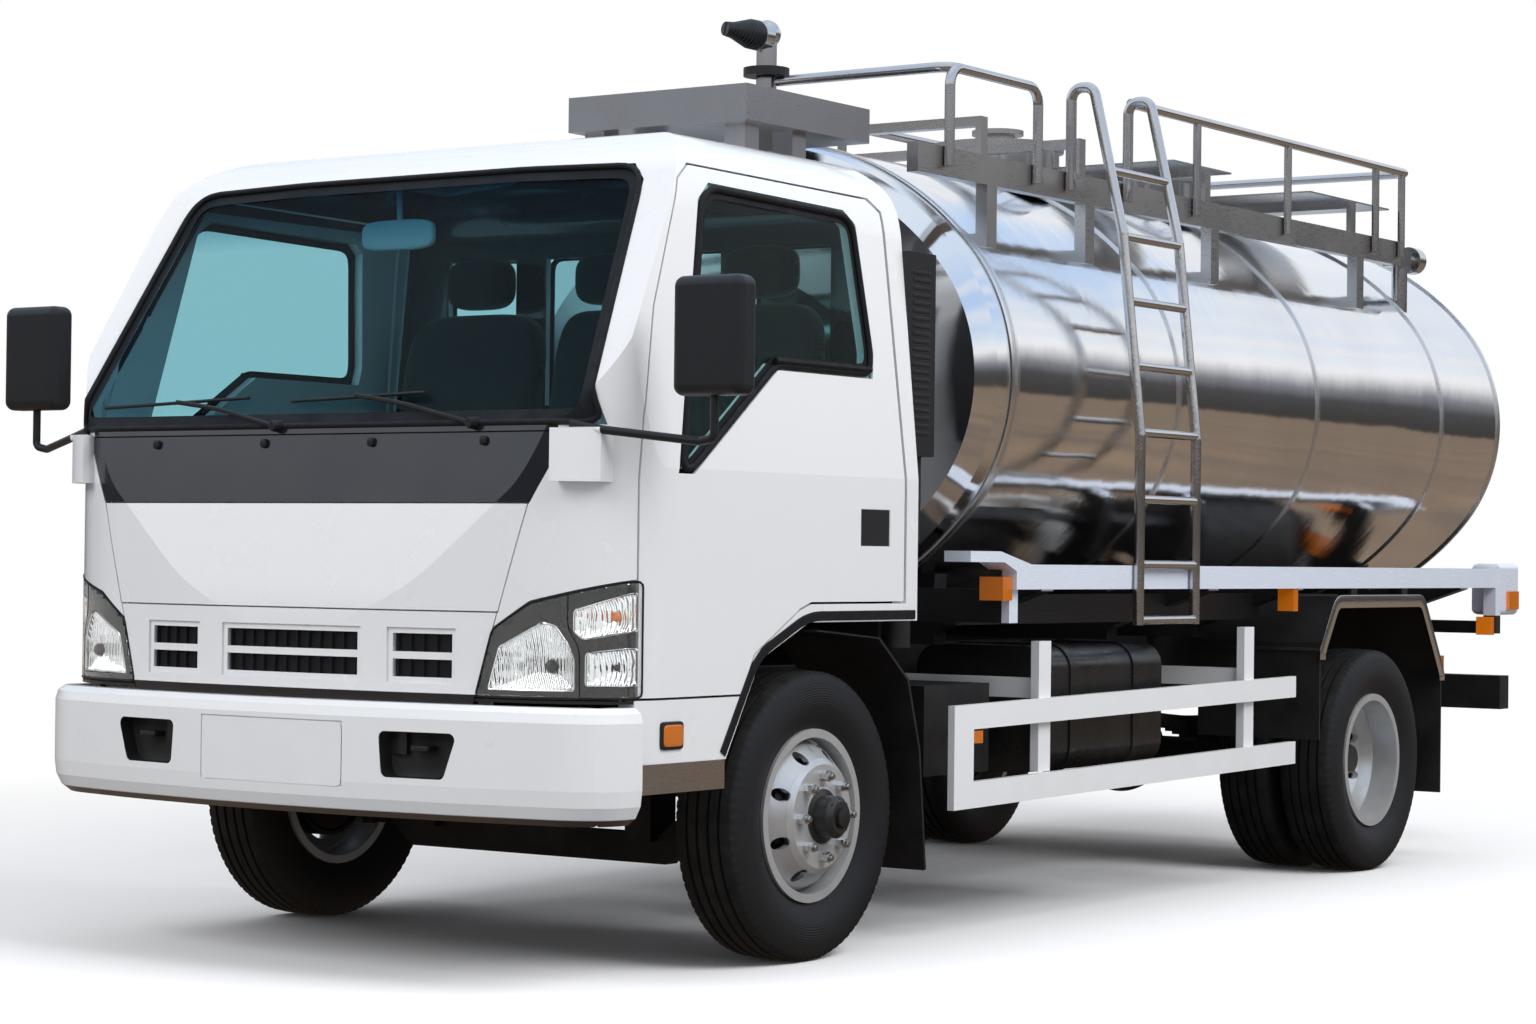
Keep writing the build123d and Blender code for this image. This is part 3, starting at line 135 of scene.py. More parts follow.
def tube(path, radius, up=(0, 0, 1), sides=12, closed=False, flat=1.0):
    """A round (or flattened) section carried along a path: P + r cos(a) across + flat r sin(a) third."""
    path = np.asarray(path, float)
    across, third = frames_across(path, closed, np.asarray(up, float))
    angle = np.linspace(0, 2 * np.pi, sides, endpoint=False)[None, :, None]
    ring = np.cos(angle) * across[:, None] + flat * np.sin(angle) * third[:, None]
    points = path[:, None] + radius * ring
    if not closed:
        points = np.concatenate([path[None, :1].repeat(sides, 1), points, path[None, -1:].repeat(sides, 1)])
    return surface(points, wrap_rows=closed, wrap_cols=True)


def lathe(profile, centre, axis="x", segments=64):
    """A profile of (along, radius) turned about an axis through centre: (a, r cos t, r sin t)."""
    profile = np.asarray(profile, float)
    t = np.linspace(0, 2 * np.pi, segments, endpoint=False)
    a = np.repeat(profile[:, :1], segments, 1)
    u, v = profile[:, 1:] * np.cos(t), profile[:, 1:] * np.sin(t)
    order = {"x": (a, u, v), "y": (v, a, u), "z": (u, v, a)}[axis]
    return surface(np.stack(order, -1) + np.asarray(centre, float), wrap_cols=True)


def rounded_block(lo, hi, power=6.0, rows=24, cols=36):
    """A block with soft edges: a sphere grid whose cosines are raised to 2/power, scaled to the block."""
    lo, hi = np.asarray(lo, float), np.asarray(hi, float)
    lat = np.linspace(-np.pi / 2, np.pi / 2, rows)[:, None]
    lon = np.linspace(-np.pi, np.pi, cols, endpoint=False)[None]

    def soft(value):
        return np.sign(value) * np.abs(value) ** (2 / power)

    unit = np.stack(np.broadcast_arrays(soft(np.cos(lat)) * soft(np.cos(lon)),
                                        soft(np.cos(lat)) * soft(np.sin(lon)), soft(np.sin(lat))), -1)
    return surface((lo + hi) / 2 + unit * (hi - lo) / 2, wrap_cols=True)


def bends(corners, before, after, radius, steps):
    """Each corner C cut by a quadratic bend, at most radius long on each side, between S and E:
    (1 - t)^2 S + 2 t (1 - t) C + t^2 E."""
    cuts = []
    for other in (before, after):
        way = other - corners
        length = np.linalg.norm(way, axis=1, keepdims=True)
        cuts.append((corners + way / length * np.minimum(radius, length * 0.45))[:, None])
    t = np.linspace(0, 1, steps)[None, :, None]
    bend = (1 - t) ** 2 * cuts[0] + 2 * t * (1 - t) * corners[:, None] + t ** 2 * cuts[1]
    return bend.reshape(-1, corners.shape[1])


def rounded_loop(corners, radius):
    """A closed outline with its corners bent."""
    corners = np.asarray(corners, float)
    return bends(corners, np.roll(corners, 1, 0), np.roll(corners, -1, 0), radius, 6)


def bent_path(points, radius):
    """An open path with its inner corners bent."""
    points = np.asarray(points, float)
    return np.vstack([points[:1], bends(points[1:-1], points[:-2], points[2:], radius, 8), points[-1:]])


def fill_in(loop, spacing=0.0, count=0):
    """A closed outline resampled evenly by the distance along it, to a spacing or an exact count."""
    loop = np.asarray(loop, float)
    ring = np.vstack([loop, loop[:1]])
    length = np.concatenate([[0], np.cumsum(np.linalg.norm(np.diff(ring, axis=0), axis=1))])
    places = np.linspace(0, length[-1], count or max(8, int(length[-1] / spacing)), endpoint=False)
    return np.stack([np.interp(places, length, ring[:, k]) for k in range(ring.shape[1])], -1)


def grow(corners, distance):
    """An outline with each side moved out by a distance, its corners where the moved sides meet."""
    corners = np.asarray(corners, float)
    area = np.sum(corners[:, 0] * np.roll(corners[:, 1], -1) - np.roll(corners[:, 0], -1) * corners[:, 1])
    side = np.roll(corners, -1, 0) - corners
    side /= np.linalg.norm(side, axis=1, keepdims=True)
    out = np.stack([side[:, 1], -side[:, 0]], -1) * np.sign(area)
    out_before = np.roll(out, 1, 0)
    share = 1 + np.sum(out * out_before, axis=1, keepdims=True)
    return corners + (out + out_before) / share * distance


def inside(points, loop):
    """Which points lie in a closed outline, by counting the sides that a ray to the right crosses."""
    a, b = loop, np.roll(loop, -1, 0)
    x, y = points[:, :1], points[:, 1:2]
    spans = (a[:, 1] > y) != (b[:, 1] > y)
    slope = (b[:, 0] - a[:, 0]) / np.where(b[:, 1] == a[:, 1], 1e-12, b[:, 1] - a[:, 1])
    return (np.sum(spans & (x < a[:, 0] + slope * (y - a[:, 1])), axis=1) % 2) == 1


def flat_sheet(outline, spacing):
    """A flat sheet inside an outline, as triangles on evenly spread points."""
    loop = fill_in(outline, spacing)
    lo, hi = loop.min(0), loop.max(0)
    across, up = (np.arange(lo[k] + spacing / 2, hi[k], spacing) for k in (0, 1))
    inner = np.stack(np.meshgrid(across, up), -1).reshape(-1, 2)
    ids = np.arange(len(loop))
    edges = np.stack([ids, np.roll(ids, -1)], -1).tolist()
    points = np.vstack([loop, inner[inside(inner, loop)]])
    made = delaunay_2d_cdt([Vector(p) for p in points], edges, [], 0, 1e-6)
    flat = np.array([tuple(v) for v in made[0]])
    faces = np.array([face for face in made[2] if len(face) == 3])
    return flat, faces[inside(flat[faces].mean(1), loop)]


def mirrored(part):
    """The same surface on the truck's other side, its faces turned round to point outwards again."""
    points, faces = part
    return points * np.array([-1, 1, 1]), faces[:, ::-1]


def both_sides(*parts):
    """Surfaces with their mirror images."""
    return list(parts) + [mirrored(part) for part in parts]


SHARP_FROM = np.radians(40.0)       # edges bent by more than this stay crisp
SAME_PLACE, NO_LENGTH = 2e-5, 1e-6


def make_piece(name, parts, finish_name, body="body", stand_for=(), recalculate=True):
    """One mesh object from surfaces; it rides on a body and may stand for CAD nodes."""
    starts = np.cumsum([0] + [len(vertices) for vertices, _ in parts])
    polygons = [face for (_, faces), start in zip(parts, starts)
                for face in (np.asarray(faces) + start).tolist()]
    mesh = bpy.data.meshes.new(name)
    mesh.from_pydata(np.vstack([vertices for vertices, _ in parts]).tolist(), [], polygons)
    work = bmesh.new()
    work.from_mesh(mesh)
    bmesh.ops.remove_doubles(work, verts=work.verts, dist=SAME_PLACE)
    bmesh.ops.dissolve_degenerate(work, edges=work.edges, dist=NO_LENGTH)
    if recalculate:
        bmesh.ops.recalc_face_normals(work, faces=work.faces)
    work.to_mesh(mesh)
    work.free()
    mesh.shade_smooth()
    mesh.set_sharp_from_angle(angle=SHARP_FROM)
    mesh.materials.append(finish(finish_name))
    piece = bpy.data.objects.new(name, mesh)
    bpy.context.scene.collection.objects.link(piece)
    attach(piece, body)
    if stand_for:
        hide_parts(*stand_for)
    return piece


# ---------------------------------------------------------------- shader wiring
class Value:
    """What a node gives at each place; arithmetic on it adds math nodes to the same tree."""

    def __init__(self, socket):
        self.socket = socket

    def math(self, operation, *others):
        """The outcome of one math node."""
        return given(self.socket.id_data, "Math", dict(enumerate((self, *others))), operation=operation)

    def __add__(self, other):
        return self.math("ADD", other)

    def __sub__(self, other):
        return self.math("SUBTRACT", other)

    def __rsub__(self, other):
        return self.math("MULTIPLY_ADD", -1.0, other)

    def __mul__(self, other):
        return self.math("MULTIPLY", other)

    def __abs__(self):
        return self.math("ABSOLUTE")

    def at_least(self, other):
        """The larger of the two."""
        return self.math("MAXIMUM", other)

    def step(self, start, end, low=0.0, high=1.0):
        """Spread evenly from low to high as the value goes from start to end, and level beyond them."""
        return given(self.socket.id_data, "MapRange", {"Value": self, "From Min": start, "From Max": end,
                                                       "To Min": low, "To Max": high}, "Result")

    def over(self, limit, edge=0.001):
        """Nought up to a limit and one beyond it."""
        return self.step(limit, limit + edge)

    def under(self, limit, edge=0.001):
        """One up to a limit and nought beyond it."""
        return self.step(limit, limit + edge, 1.0, 0.0)

    def between(self, low, high, edge=0.001):
        """One where the value lies between two limits and nought outside."""
        return self.step(low - edge, low + edge) * self.step(high + edge, high - edge)


def add_node(tree, kind, inputs=(), **settings):
    """A new node; each input is a plain value, or a Value that another node gives."""
    made = tree.nodes.new("ShaderNode" + kind)
    for key, setting in settings.items():
        setattr(made, key, setting)
    for key, entry in dict(inputs).items():
        if isinstance(entry, Value):
            tree.links.new(entry.socket, made.inputs[key])
        else:
            made.inputs[key].default_value = entry
    return made


def given(tree, kind, inputs=(), output=0, **settings):
    """What one output of a new node gives."""
    return Value(add_node(tree, kind, inputs, **settings).outputs[output])


def mix(share, first, second):
    """One colour turning into another by a share."""
    first, second = (entry if isinstance(entry, Value) else (*entry, 1) for entry in (first, second))
    return given(share.socket.id_data, "Mix", {0: share, 6: first, 7: second}, 2, data_type="RGBA")


def by_ray(tree, seen, glossy, other):
    """One shader for what is seen straight or through glass, one for reflections and one for the rest."""
    rays = add_node(tree, "LightPath").outputs
    unseen = given(tree, "MixShader", {0: Value(rays["Is Glossy Ray"]), 1: other, 2: glossy})
    straight = Value(rays["Is Camera Ray"]).at_least(Value(rays["Is Transmission Ray"]))
    return given(tree, "MixShader", {0: straight, 1: unseen, 2: seen})


class Finish:
    """One material: its shader's plain values, and the patterns that drive them over the object's space."""

    def __init__(self, name, colour, roughness=0.5, metallic=0.0, **sockets):
        self.material = bpy.data.materials.new(name)
        self.material.use_nodes = True
        self.material.diffuse_color = (*colour, 1)
        self.tree = self.material.node_tree
        self.shader = self.tree.nodes["Principled BSDF"]
        plain = {"Base_Color": (*colour, 1), "Roughness": roughness, "Metallic": metallic, **sockets}
        for socket, entry in plain.items():
            self.shader.inputs[socket.replace("_", " ")].default_value = entry
        self.place = given(self.tree, "TexCoord", output="Object")
        split = add_node(self.tree, "SeparateXYZ", {"Vector": self.place}).outputs
        self.x, self.y, self.z = (Value(split[axis]) for axis in "XYZ")
        self.bumps = None

    def noise(self, scale, detail, stretch=(1, 1, 1)):
        """Uneven patches, from 0 to 1, finer with a larger scale."""
        place = given(self.tree, "Mapping", {"Vector": self.place, "Scale": stretch})
        return given(self.tree, "TexNoise", {"Vector": place, "Scale": scale, "Detail": detail}, "Fac")

    def wave(self, scale, way, distortion=0.0, detail=2.0):
        """Soft bands along one axis."""
        inputs = {"Vector": self.place, "Scale": scale, "Distortion": distortion, "Detail": detail}
        return given(self.tree, "TexWave", inputs, "Fac", bands_direction=way)

    def drive(self, **sockets):
        """Lets patterns give some of the shader's values."""
        for socket, pattern in sockets.items():
            self.tree.links.new(pattern.socket, self.shader.inputs[socket.replace("_", " ")])

    def bump(self, height, distance):
        """Adds a layer of relief, in metres of height."""
        inputs = {"Height": height, "Distance": distance, "Strength": 1.0}
        if self.bumps:
            inputs["Normal"] = self.bumps
        self.bumps = given(self.tree, "Bump", inputs, "Normal")
        self.drive(Normal=self.bumps)

    def dusty(self, colour, dust, top, amount):
        """The colour turned towards dust near the ground and in patches."""
        share = self.z.step(0.1, top, 1.0, 0.0) * self.noise(9.0, 6).step(0.35, 0.75) * amount
        return mix(share, colour, dust)


# ---------------------------------------------------------------- finishes
DUST = (0.22, 0.19, 0.15)
LINING = (0.014, 0.018, 0.020)
HEADLINING = (0.045, 0.050, 0.052)
BLACK = (0.010, 0.011, 0.013)
SOFT_BLACK = (0.010, 0.010, 0.011)


def darker(colour, share):
    """The colour with each part cut to a share."""
    return tuple(part * share for part in colour)


def painted(name, colour=None, roughness=0.24, coat=0.8, coat_roughness=0.04, pattern=None):
    """Glossy paint with a clear coat and a faint ripple, in the cab's colour if it has none of its own; a
    pattern, or else a little road dust low down, drives its colour."""
    colour = colour or tuple(bpy.context.scene.truck_paint.cab_colour)
    made = Finish(name, colour, roughness, Coat_Weight=coat, Coat_Roughness=coat_roughness)
    made.drive(Roughness=made.noise(6.0, 4).step(0.3, 0.7, roughness - 0.04, roughness + 0.06))
    made.bump(made.noise(420.0, 1), 0.00004)
    if pattern:
        pattern(made, colour)
    else:
        made.drive(Base_Color=made.dusty(colour, DUST, 0.9, 0.10))
    return made.material


def moulded(name, colour, roughness=0.55, grain=700.0, depth=0.0003):
    """Moulded plastic with a leathery grain and slightly uneven shine."""
    made = Finish(name, colour, roughness)
    made.drive(Base_Color=made.dusty(colour, DUST, 1.1, 0.12),
               Roughness=made.noise(12.0, 4).step(0.3, 0.7, roughness - 0.08, roughness + 0.1))
    made.bump(made.noise(grain, 2), depth)
    return made.material


def rubber(name):
    """Matt black rubber, duller in patches."""
    made = Finish(name, (0.008, 0.008, 0.009), 0.62, Specular_IOR_Level=0.35)
    made.drive(Roughness=made.noise(30.0, 4).step(0.3, 0.7, 0.52, 0.72))
    made.bump(made.noise(900.0, 2), 0.0002)
    return made.material


def steel(name, colour, roughness, brush, brush_scale, depth=0.00012, stain=0.12):
    """Stainless steel: fine lines along one direction, faint heat and water stains."""
    made = Finish(name, colour, roughness, 1.0)
    lines, patch = made.noise(brush_scale, 3, brush), made.noise(3.5, 5)
    made.drive(Base_Color=mix(patch.step(0.35, 0.8, 0.0, 0.3), colour, darker(colour, 0.72)),
               Roughness=lines.step(0.3, 0.7, roughness - 0.05, roughness + 0.07)
               + patch.step(0.4, 0.75, 0.0, stain))
    made.bump(lines, depth)
    return made.material


def tank_steel():
    """Mirror-rolled sheet: long soft waves, hair lines round the barrel, duller along each welded ring."""
    colour = (0.88, 0.88, 0.88)
    made = Finish("Tank mirror steel", colour, 0.09, 1.0)
    hair = made.noise(160.0, 3, (1, 14, 1))
    tank_front = ahead(1.04)
    near = None
    for seam in (0.007, 0.041, 1.097, 2.157, 3.267, 3.823):
        band = abs(made.y - (tank_front + seam)).step(0.008, 0.022, 1.0, 0.0)
        near = near.at_least(band) if near else band
    made.drive(Base_Color=mix(made.noise(2.2, 5).step(0.4, 0.8, 0.0, 0.25), colour, (0.62, 0.60, 0.57)),
               Roughness=hair.step(0.3, 0.7, 0.055, 0.11) + near * 0.16)
    made.bump(made.noise(1.5, 2, (1.0, 0.8, 1.0)), 0.010)
    made.bump(made.noise(7.0, 2, (0.6, 1.4, 0.6)), 0.0012)
    made.bump(hair, 0.00004)
    return made.material


def tinted_glass(name, colour, shade_from=None):
    """Green-blue glass; a screen's top fades to a darker shade band."""
    made = Finish(name, colour, 0.0, Transmission_Weight=1.0, IOR=1.13)
    if shade_from:
        shade = (colour[0] * 0.12, colour[1] * 0.35, colour[2] * 0.5)
        made.drive(Base_Color=mix(made.z.step(shade_from, shade_from + 0.14), colour, shade))
    return made.material


def from_axle(made, axle_y):
    """How far each place lies from an axle that runs across the truck."""
    behind, above = made.y - axle_y, made.z - AXLE_Z
    return (behind * behind + above * above).math("SQRT")


def wheel_paint(name, axle_y, face):
    """Silver paint on the wheel, bright nuts round the face, a greasy dark hub and dust in the holes."""
    silver = (0.60, 0.61, 0.62)
    made = Finish(name, silver, 0.34, 0.55)
    radius, out = from_axle(made, axle_y), abs(made.x)
    hub = radius.under(0.074, 0.004)
    drum = out.under(face - 0.016, 0.004) * radius.step(0.160, 0.157)
    nut = radius.between(0.093, 0.129) * out.over(face + 0.001, 0.002)
    paint = mix(made.noise(14.0, 5).step(0.4, 0.75, 0.0, 0.35), silver, (0.42, 0.41, 0.39))
    paint = mix(hub.at_least(drum), paint, (0.025, 0.024, 0.023))
    made.drive(Base_Color=mix(nut, paint, (0.80, 0.80, 0.80)), Metallic=((1.0 - hub) * 0.55).at_least(nut),
               Roughness=made.noise(40.0, 4).step(0.3, 0.7, 0.28, 0.42) - nut * 0.16)
    made.bump(made.noise(300.0, 2), 0.00015)
    return made.material


def tyre_rubber(name, axle_y):
    """Black tyre rubber: moulding lines on the sidewall, scuffed and a shade paler on the tread."""
    made = Finish(name, SOFT_BLACK, 0.7, Specular_IOR_Level=0.4)
    radius = from_axle(made, axle_y)
    tread = radius.step(0.383, 0.396)
    worn = mix(made.noise(18.0, 6).step(0.35, 0.7), (0.010, 0.010, 0.010), (0.022, 0.021, 0.019))
    made.drive(Base_Color=mix(tread, (0.012, 0.012, 0.013), worn), Roughness=tread.step(0.0, 1.0, 0.58, 0.82))
    rings = (radius * 900.0).math("SINE")
    made.bump(rings * radius.between(0.30, 0.37, 0.008), 0.0004)
    made.bump(made.noise(500.0, 3), 0.0003)
    return made.material


def woven(name, colour):
    """Seat cloth: a fine basket weave, with pile that lightens at glancing angles."""
    made = Finish(name, colour, 0.9, Sheen_Weight=0.35, Sheen_Roughness=0.4)
    weave = made.wave(220.0, "X", 0.4).at_least(made.wave(220.0, "Z", 0.4))
    made.drive(Base_Color=mix(weave, darker(colour, 0.6), colour))
    made.bump(weave, 0.0006)
    return made.material


def lens(name, colour, glow):
    """A coloured lamp lens with moulded prisms."""
    made = Finish(name, colour, 0.12, Coat_Weight=1.0, Coat_Roughness=0.03, Emission_Color=(*colour, 1),
                  Emission_Strength=glow)
    ridge = made.wave(260.0, "Y")
    made.drive(Base_Color=mix(ridge, colour, darker(colour, 0.55)))
    made.bump(ridge, 0.0008)
    return made.material


def chassis_paint():
    """Black frame paint with road dirt, heavier low down."""
    made = Finish("Chassis black", SOFT_BLACK, 0.5, Specular_IOR_Level=0.35)
    made.drive(Base_Color=made.dusty(SOFT_BLACK, (0.055, 0.050, 0.042), 1.2, 0.35),
               Roughness=made.noise(10.0, 5).step(0.3, 0.7, 0.42, 0.72))
    made.bump(made.noise(120.0, 4), 0.0006)
    return made.material


def cast_metal():
    """Dark cast steel with a coarse skin and rusty dirt."""
    colour = (0.030, 0.029, 0.028)
    made = Finish("Cast steel", colour, 0.6, 0.5)
    made.drive(Base_Color=made.dusty(colour, (0.08, 0.06, 0.045), 0.9, 0.4))
    made.bump(made.noise(160.0, 5), 0.001)
    return made.material


def cab_inside(made):
    """One on the cab's inner surfaces and nought on its outer ones.

    Inner means |x| < 0.945 - 0.0986 max(z - 1.33, 0), z below a crown that follows the roof 40 mm down, and
    y behind the line max(-0.885, -1 + 0.56 (z - 1.432)) + 0.03, all measured from the front axle.
    """
    x, y, z = abs(made.x), made.y - FRONT_AXLE, made.z
    flank = 0.945 - (z - 1.33).at_least(0.0) * 0.0986
    front = ((z - 1.432) * 0.56 - 1.0).at_least(-0.885) + 0.03
    crown = z + x * 0.055 + (x - 0.80).at_least(0.0) * 0.5 + (-0.15 - y).at_least(0.0) * 0.16
    return (flank - x).over(0.0) * (y - front).over(0.0) * crown.under(2.244) * y.under(0.410)


BUMPER_TOP, BUMPER_LIP = 0.746, 0.441
SCUTTLE_Z = (1.409, 1.470)                             # the black strip under the windscreen
FOG_POCKET_X, FOG_POCKET_Z = (0.352, 0.606), (0.526, 0.656)
HANDLE_Y, HANDLE_Z = (ahead(0.148), ahead(0.296)), (1.139, 1.241)


def shell_pattern(made, white):
    """Black below the windscreen, painted shade in the gap over the bumper, and dark lining inside the cab.
    """
    x, y, z = abs(made.x), made.y, made.z
    scuttle = z.between(*SCUTTLE_Z) * x.under(0.824, 0.002) * y.under(ahead(-0.91), 0.01)
    # painted shade: the shell's front below the bumper's top is made black so the gap over the bumper reads
    # dark
    painted_gap_shade = z.under(BUMPER_TOP + 0.002) * y.under(ahead(-0.86))
    made.drive(Base_Color=mix(scuttle.at_least(painted_gap_shade), mix(cab_inside(made), white, LINING), BLACK))


def roof_pattern(made, white):
    """Grey headlining inside."""
    made.drive(Base_Color=mix(cab_inside(made), white, HEADLINING))


def grille_pattern(made, white):
    """Black along the bottom edge over the bumper, as painted shade in the gap there."""
    # painted shade: black below the bumper's top edge, in the gap over the bumper
    made.drive(Base_Color=mix(made.z.under(BUMPER_TOP + 0.001), white, BLACK))


def bumper_pattern(made, white):
    """Black in the fog pockets, which lie behind the bowed front line, and along the bottom lip."""
    x, z = abs(made.x), made.z
    sunk = made.y - ((x - 0.25) * 0.117 + ahead(-1.143))
    pocket = x.between(*FOG_POCKET_X) * z.between(*FOG_POCKET_Z) * sunk.over(0.003)
    made.drive(Base_Color=mix(pocket.at_least(z.under(BUMPER_LIP, 0.002)), white, BLACK))


def door_pattern(made, white):
    """Black inside the handle's recess and lined inside."""
    pull = made.y.between(*HANDLE_Y) * made.z.between(*HANDLE_Z)
    made.drive(Base_Color=mix(pull, mix(cab_inside(made), white, LINING), BLACK),
               Roughness=pull.step(0.0, 1.0, 0.24, 0.5))


def deck_steel():
    """Bright side rails and corner plates over a black painted under-frame; the rails' pale blue-white
    colour, shown nearly as plain paint, is a painted reflection of the sky.
    """
    # painted reflection: this pale blue-white stands in for the sky reflected in the rails
    colour = (0.72, 0.77, 0.88)
    made = Finish("Deck rail steel", colour, 0.24, 0.4)
    x, z = abs(made.x), made.z
    inner = x.under(0.9985) * z.under(1.075, 0.002) * made.y.under(ahead(4.63), 0.01)
    bright = x.over(0.937, 0.002) * z.over(0.909, 0.002) * (1.0 - inner)
    lines = made.noise(260.0, 3, (1, 0.04, 1))
    # the rails and corner plates take the painted sky reflection as their colour, with metallic only 0.08
    made.drive(Base_Color=mix(bright, SOFT_BLACK, colour), Metallic=bright * 0.08,
               Roughness=lines.step(0.3, 0.7, 0.16, 0.30) + bright.step(0.0, 1.0, 0.2, 0.0))
    made.bump(lines, 0.0001)
    return made.material


def nozzle_steel():
    """Stainless pipe with a black ribbed nozzle and a black knurled collar."""
    colour = (0.64, 0.63, 0.62)
    made = Finish("Spray head steel", colour, 0.2, 1.0)
    nozzle = made.y.under(ahead(0.864), 0.004) * made.z.over(2.66, 0.002)
    black = made.z.between(2.598, 2.632, 0.0005).at_least(nozzle)
    made.drive(Base_Color=mix(black, colour, (0.012, 0.013, 0.015)), Metallic=1.0 - black,
               Roughness=black.step(0.0, 1.0, 0.18, 0.35))
    made.bump((made.y * 700.0).math("SINE") * nozzle, 0.002)
    return made.material


def grille_black():
    """Dead black behind the grille's bars."""
    made = Finish("Grille black", (0.006, 0.006, 0.007), 0.8)
    made.bump(made.noise(300.0, 2), 0.0004)
    return made.material


def reflector():
    """Bright vacuum-coated reflector with fluted facets."""
    made = Finish("Lamp reflector", (0.90, 0.91, 0.92), 0.05, 1.0)
    made.bump(made.wave(34.0, "X", 2.5, 1.0), 0.004)
    made.drive(Roughness=made.noise(60.0, 2).step(0.3, 0.7, 0.03, 0.09))
    return made.material


def clear_lens():
    """Clear moulded cover, very slightly wavy."""
    made = Finish("Clear lens", (0.97, 0.98, 0.98), 0.0, Transmission_Weight=1.0, IOR=1.45)
    made.bump(made.noise(3.0, 1), 0.0005)
    return made.material


def mirror_shell():
    """Black grained plastic; the arm's foot on the cab's corner is painted like the cab."""
    black, white = (0.009, 0.010, 0.012), tuple(bpy.context.scene.truck_paint.cab_colour)
    made = Finish("Mirror shell", black, 0.42)
    foot = abs(made.x).under(0.941, 0.002) * made.z.under(1.425, 0.002)
    made.drive(Base_Color=mix(foot, black, white), Roughness=foot.step(0.0, 1.0, 0.42, 0.25))
    made.bump(made.noise(800.0, 2) * (1.0 - foot), 0.0002)
    return made.material


EVEN, ALONG = (1, 1, 1), (1, 0.06, 1)
RECIPES = {
    "cab paint": (painted, "Cab paint"),
    "door paint": (painted, "Door paint", None, 0.24, 0.8, 0.04, door_pattern),
    "shell paint": (painted, "Cab shell paint", None, 0.24, 0.8, 0.04, shell_pattern),
    "roof paint": (painted, "Roof paint", None, 0.24, 0.8, 0.04, roof_pattern),
    "grille paint": (painted, "Grille paint", None, 0.24, 0.8, 0.04, grille_pattern),
    "bumper paint": (painted, "Bumper paint", None, 0.3, 0.5, 0.08, bumper_pattern),
    "band black": (painted, "Cowl band gloss black", (0.010, 0.013, 0.020), 0.22, 0.6),
    "guard": (painted, "Side guard paint", (0.80, 0.81, 0.83), 0.35, 0.3),
    "plate": (painted, "Blank plate", (0.80, 0.81, 0.83), 0.32, 0.4),
    "glass edge": (moulded, "Printed glass edge", (0.003, 0.004, 0.005), 0.7, 900.0, 0.00002),
    "plastic": (moulded, "Black moulding", SOFT_BLACK, 0.5),
    "dash": (moulded, "Dashboard grain", LINING, 0.6, 500.0, 0.0001),
    "inner mirror": (moulded, "Mirror back", (0.40, 0.42, 0.43), 0.5, 400.0, 0.0001),
    "seat frame": (moulded, "Seat frame", (0.008, 0.009, 0.010), 0.6),
    "fuel": (moulded, "Fuel tank satin black", (0.009, 0.009, 0.010), 0.30, 90.0, 0.0006),
    "bezel": (moulded, "Lamp bezel", (0.012, 0.013, 0.015), 0.28, 900.0, 0.0001),
    "seal": (rubber, "Door and window rubber"),
    "screen": (tinted_glass, "Windscreen glass", (0.34, 0.60, 0.68), 1.95),
    "window": (tinted_glass, "Window glass", (0.62, 0.80, 0.79)),
    "tank": (tank_steel,),
    "tube": (steel, "Polished tube", (0.66, 0.65, 0.64), 0.16, EVEN, 260.0),
    "sheet": (steel, "Brushed sheet", (0.60, 0.58, 0.56), 0.26, ALONG, 300.0),
    "tray": (steel, "Tray sheet", (0.50, 0.50, 0.52), 0.3, ALONG, 300.0),
    "rail": (steel, "Bright rim", (0.80, 0.80, 0.80), 0.12, (1, 0.05, 1), 300.0, 0.00006, 0.06),
    "exhaust": (steel, "Exhaust steel", (0.30, 0.26, 0.22), 0.5, EVEN, 60.0, 0.0006, 0.2),
    "mirror glass": (steel, "Mirror glass", (0.85, 0.87, 0.88), 0.02, EVEN, 4.0, 0.00001, 0.0),
    "bolt": (steel, "Zinc bolt", (0.55, 0.54, 0.50), 0.3, EVEN, 100.0),
    "deck": (deck_steel,),
    "nozzle": (nozzle_steel,),
    "front wheel": (wheel_paint, "Front wheel paint", FRONT_AXLE, FRONT_FACE),
    "rear wheel": (wheel_paint, "Rear wheel paint", REAR_AXLE, REAR_FACE),
    "front tyre": (tyre_rubber, "Front tyre rubber", FRONT_AXLE),
    "rear tyre": (tyre_rubber, "Rear tyre rubber", REAR_AXLE),
    "cloth": (woven, "Seat cloth", (0.011, 0.014, 0.016)),
    "chassis": (chassis_paint,),
    "cast": (cast_metal,),
    "amber": (lens, "Amber lens", (0.95, 0.24, 0.01), 0.12),
    "grille black": (grille_black,),
    "reflector": (reflector,),
    "clear": (clear_lens,),
    "mirror shell": (mirror_shell,),
}
FINISHES = {}


def finish(name):
    """The named finish, made on first use."""
    if name not in FINISHES:
        maker, *values = RECIPES[name]
        FINISHES[name] = maker(*values)
    return FINISHES[name]


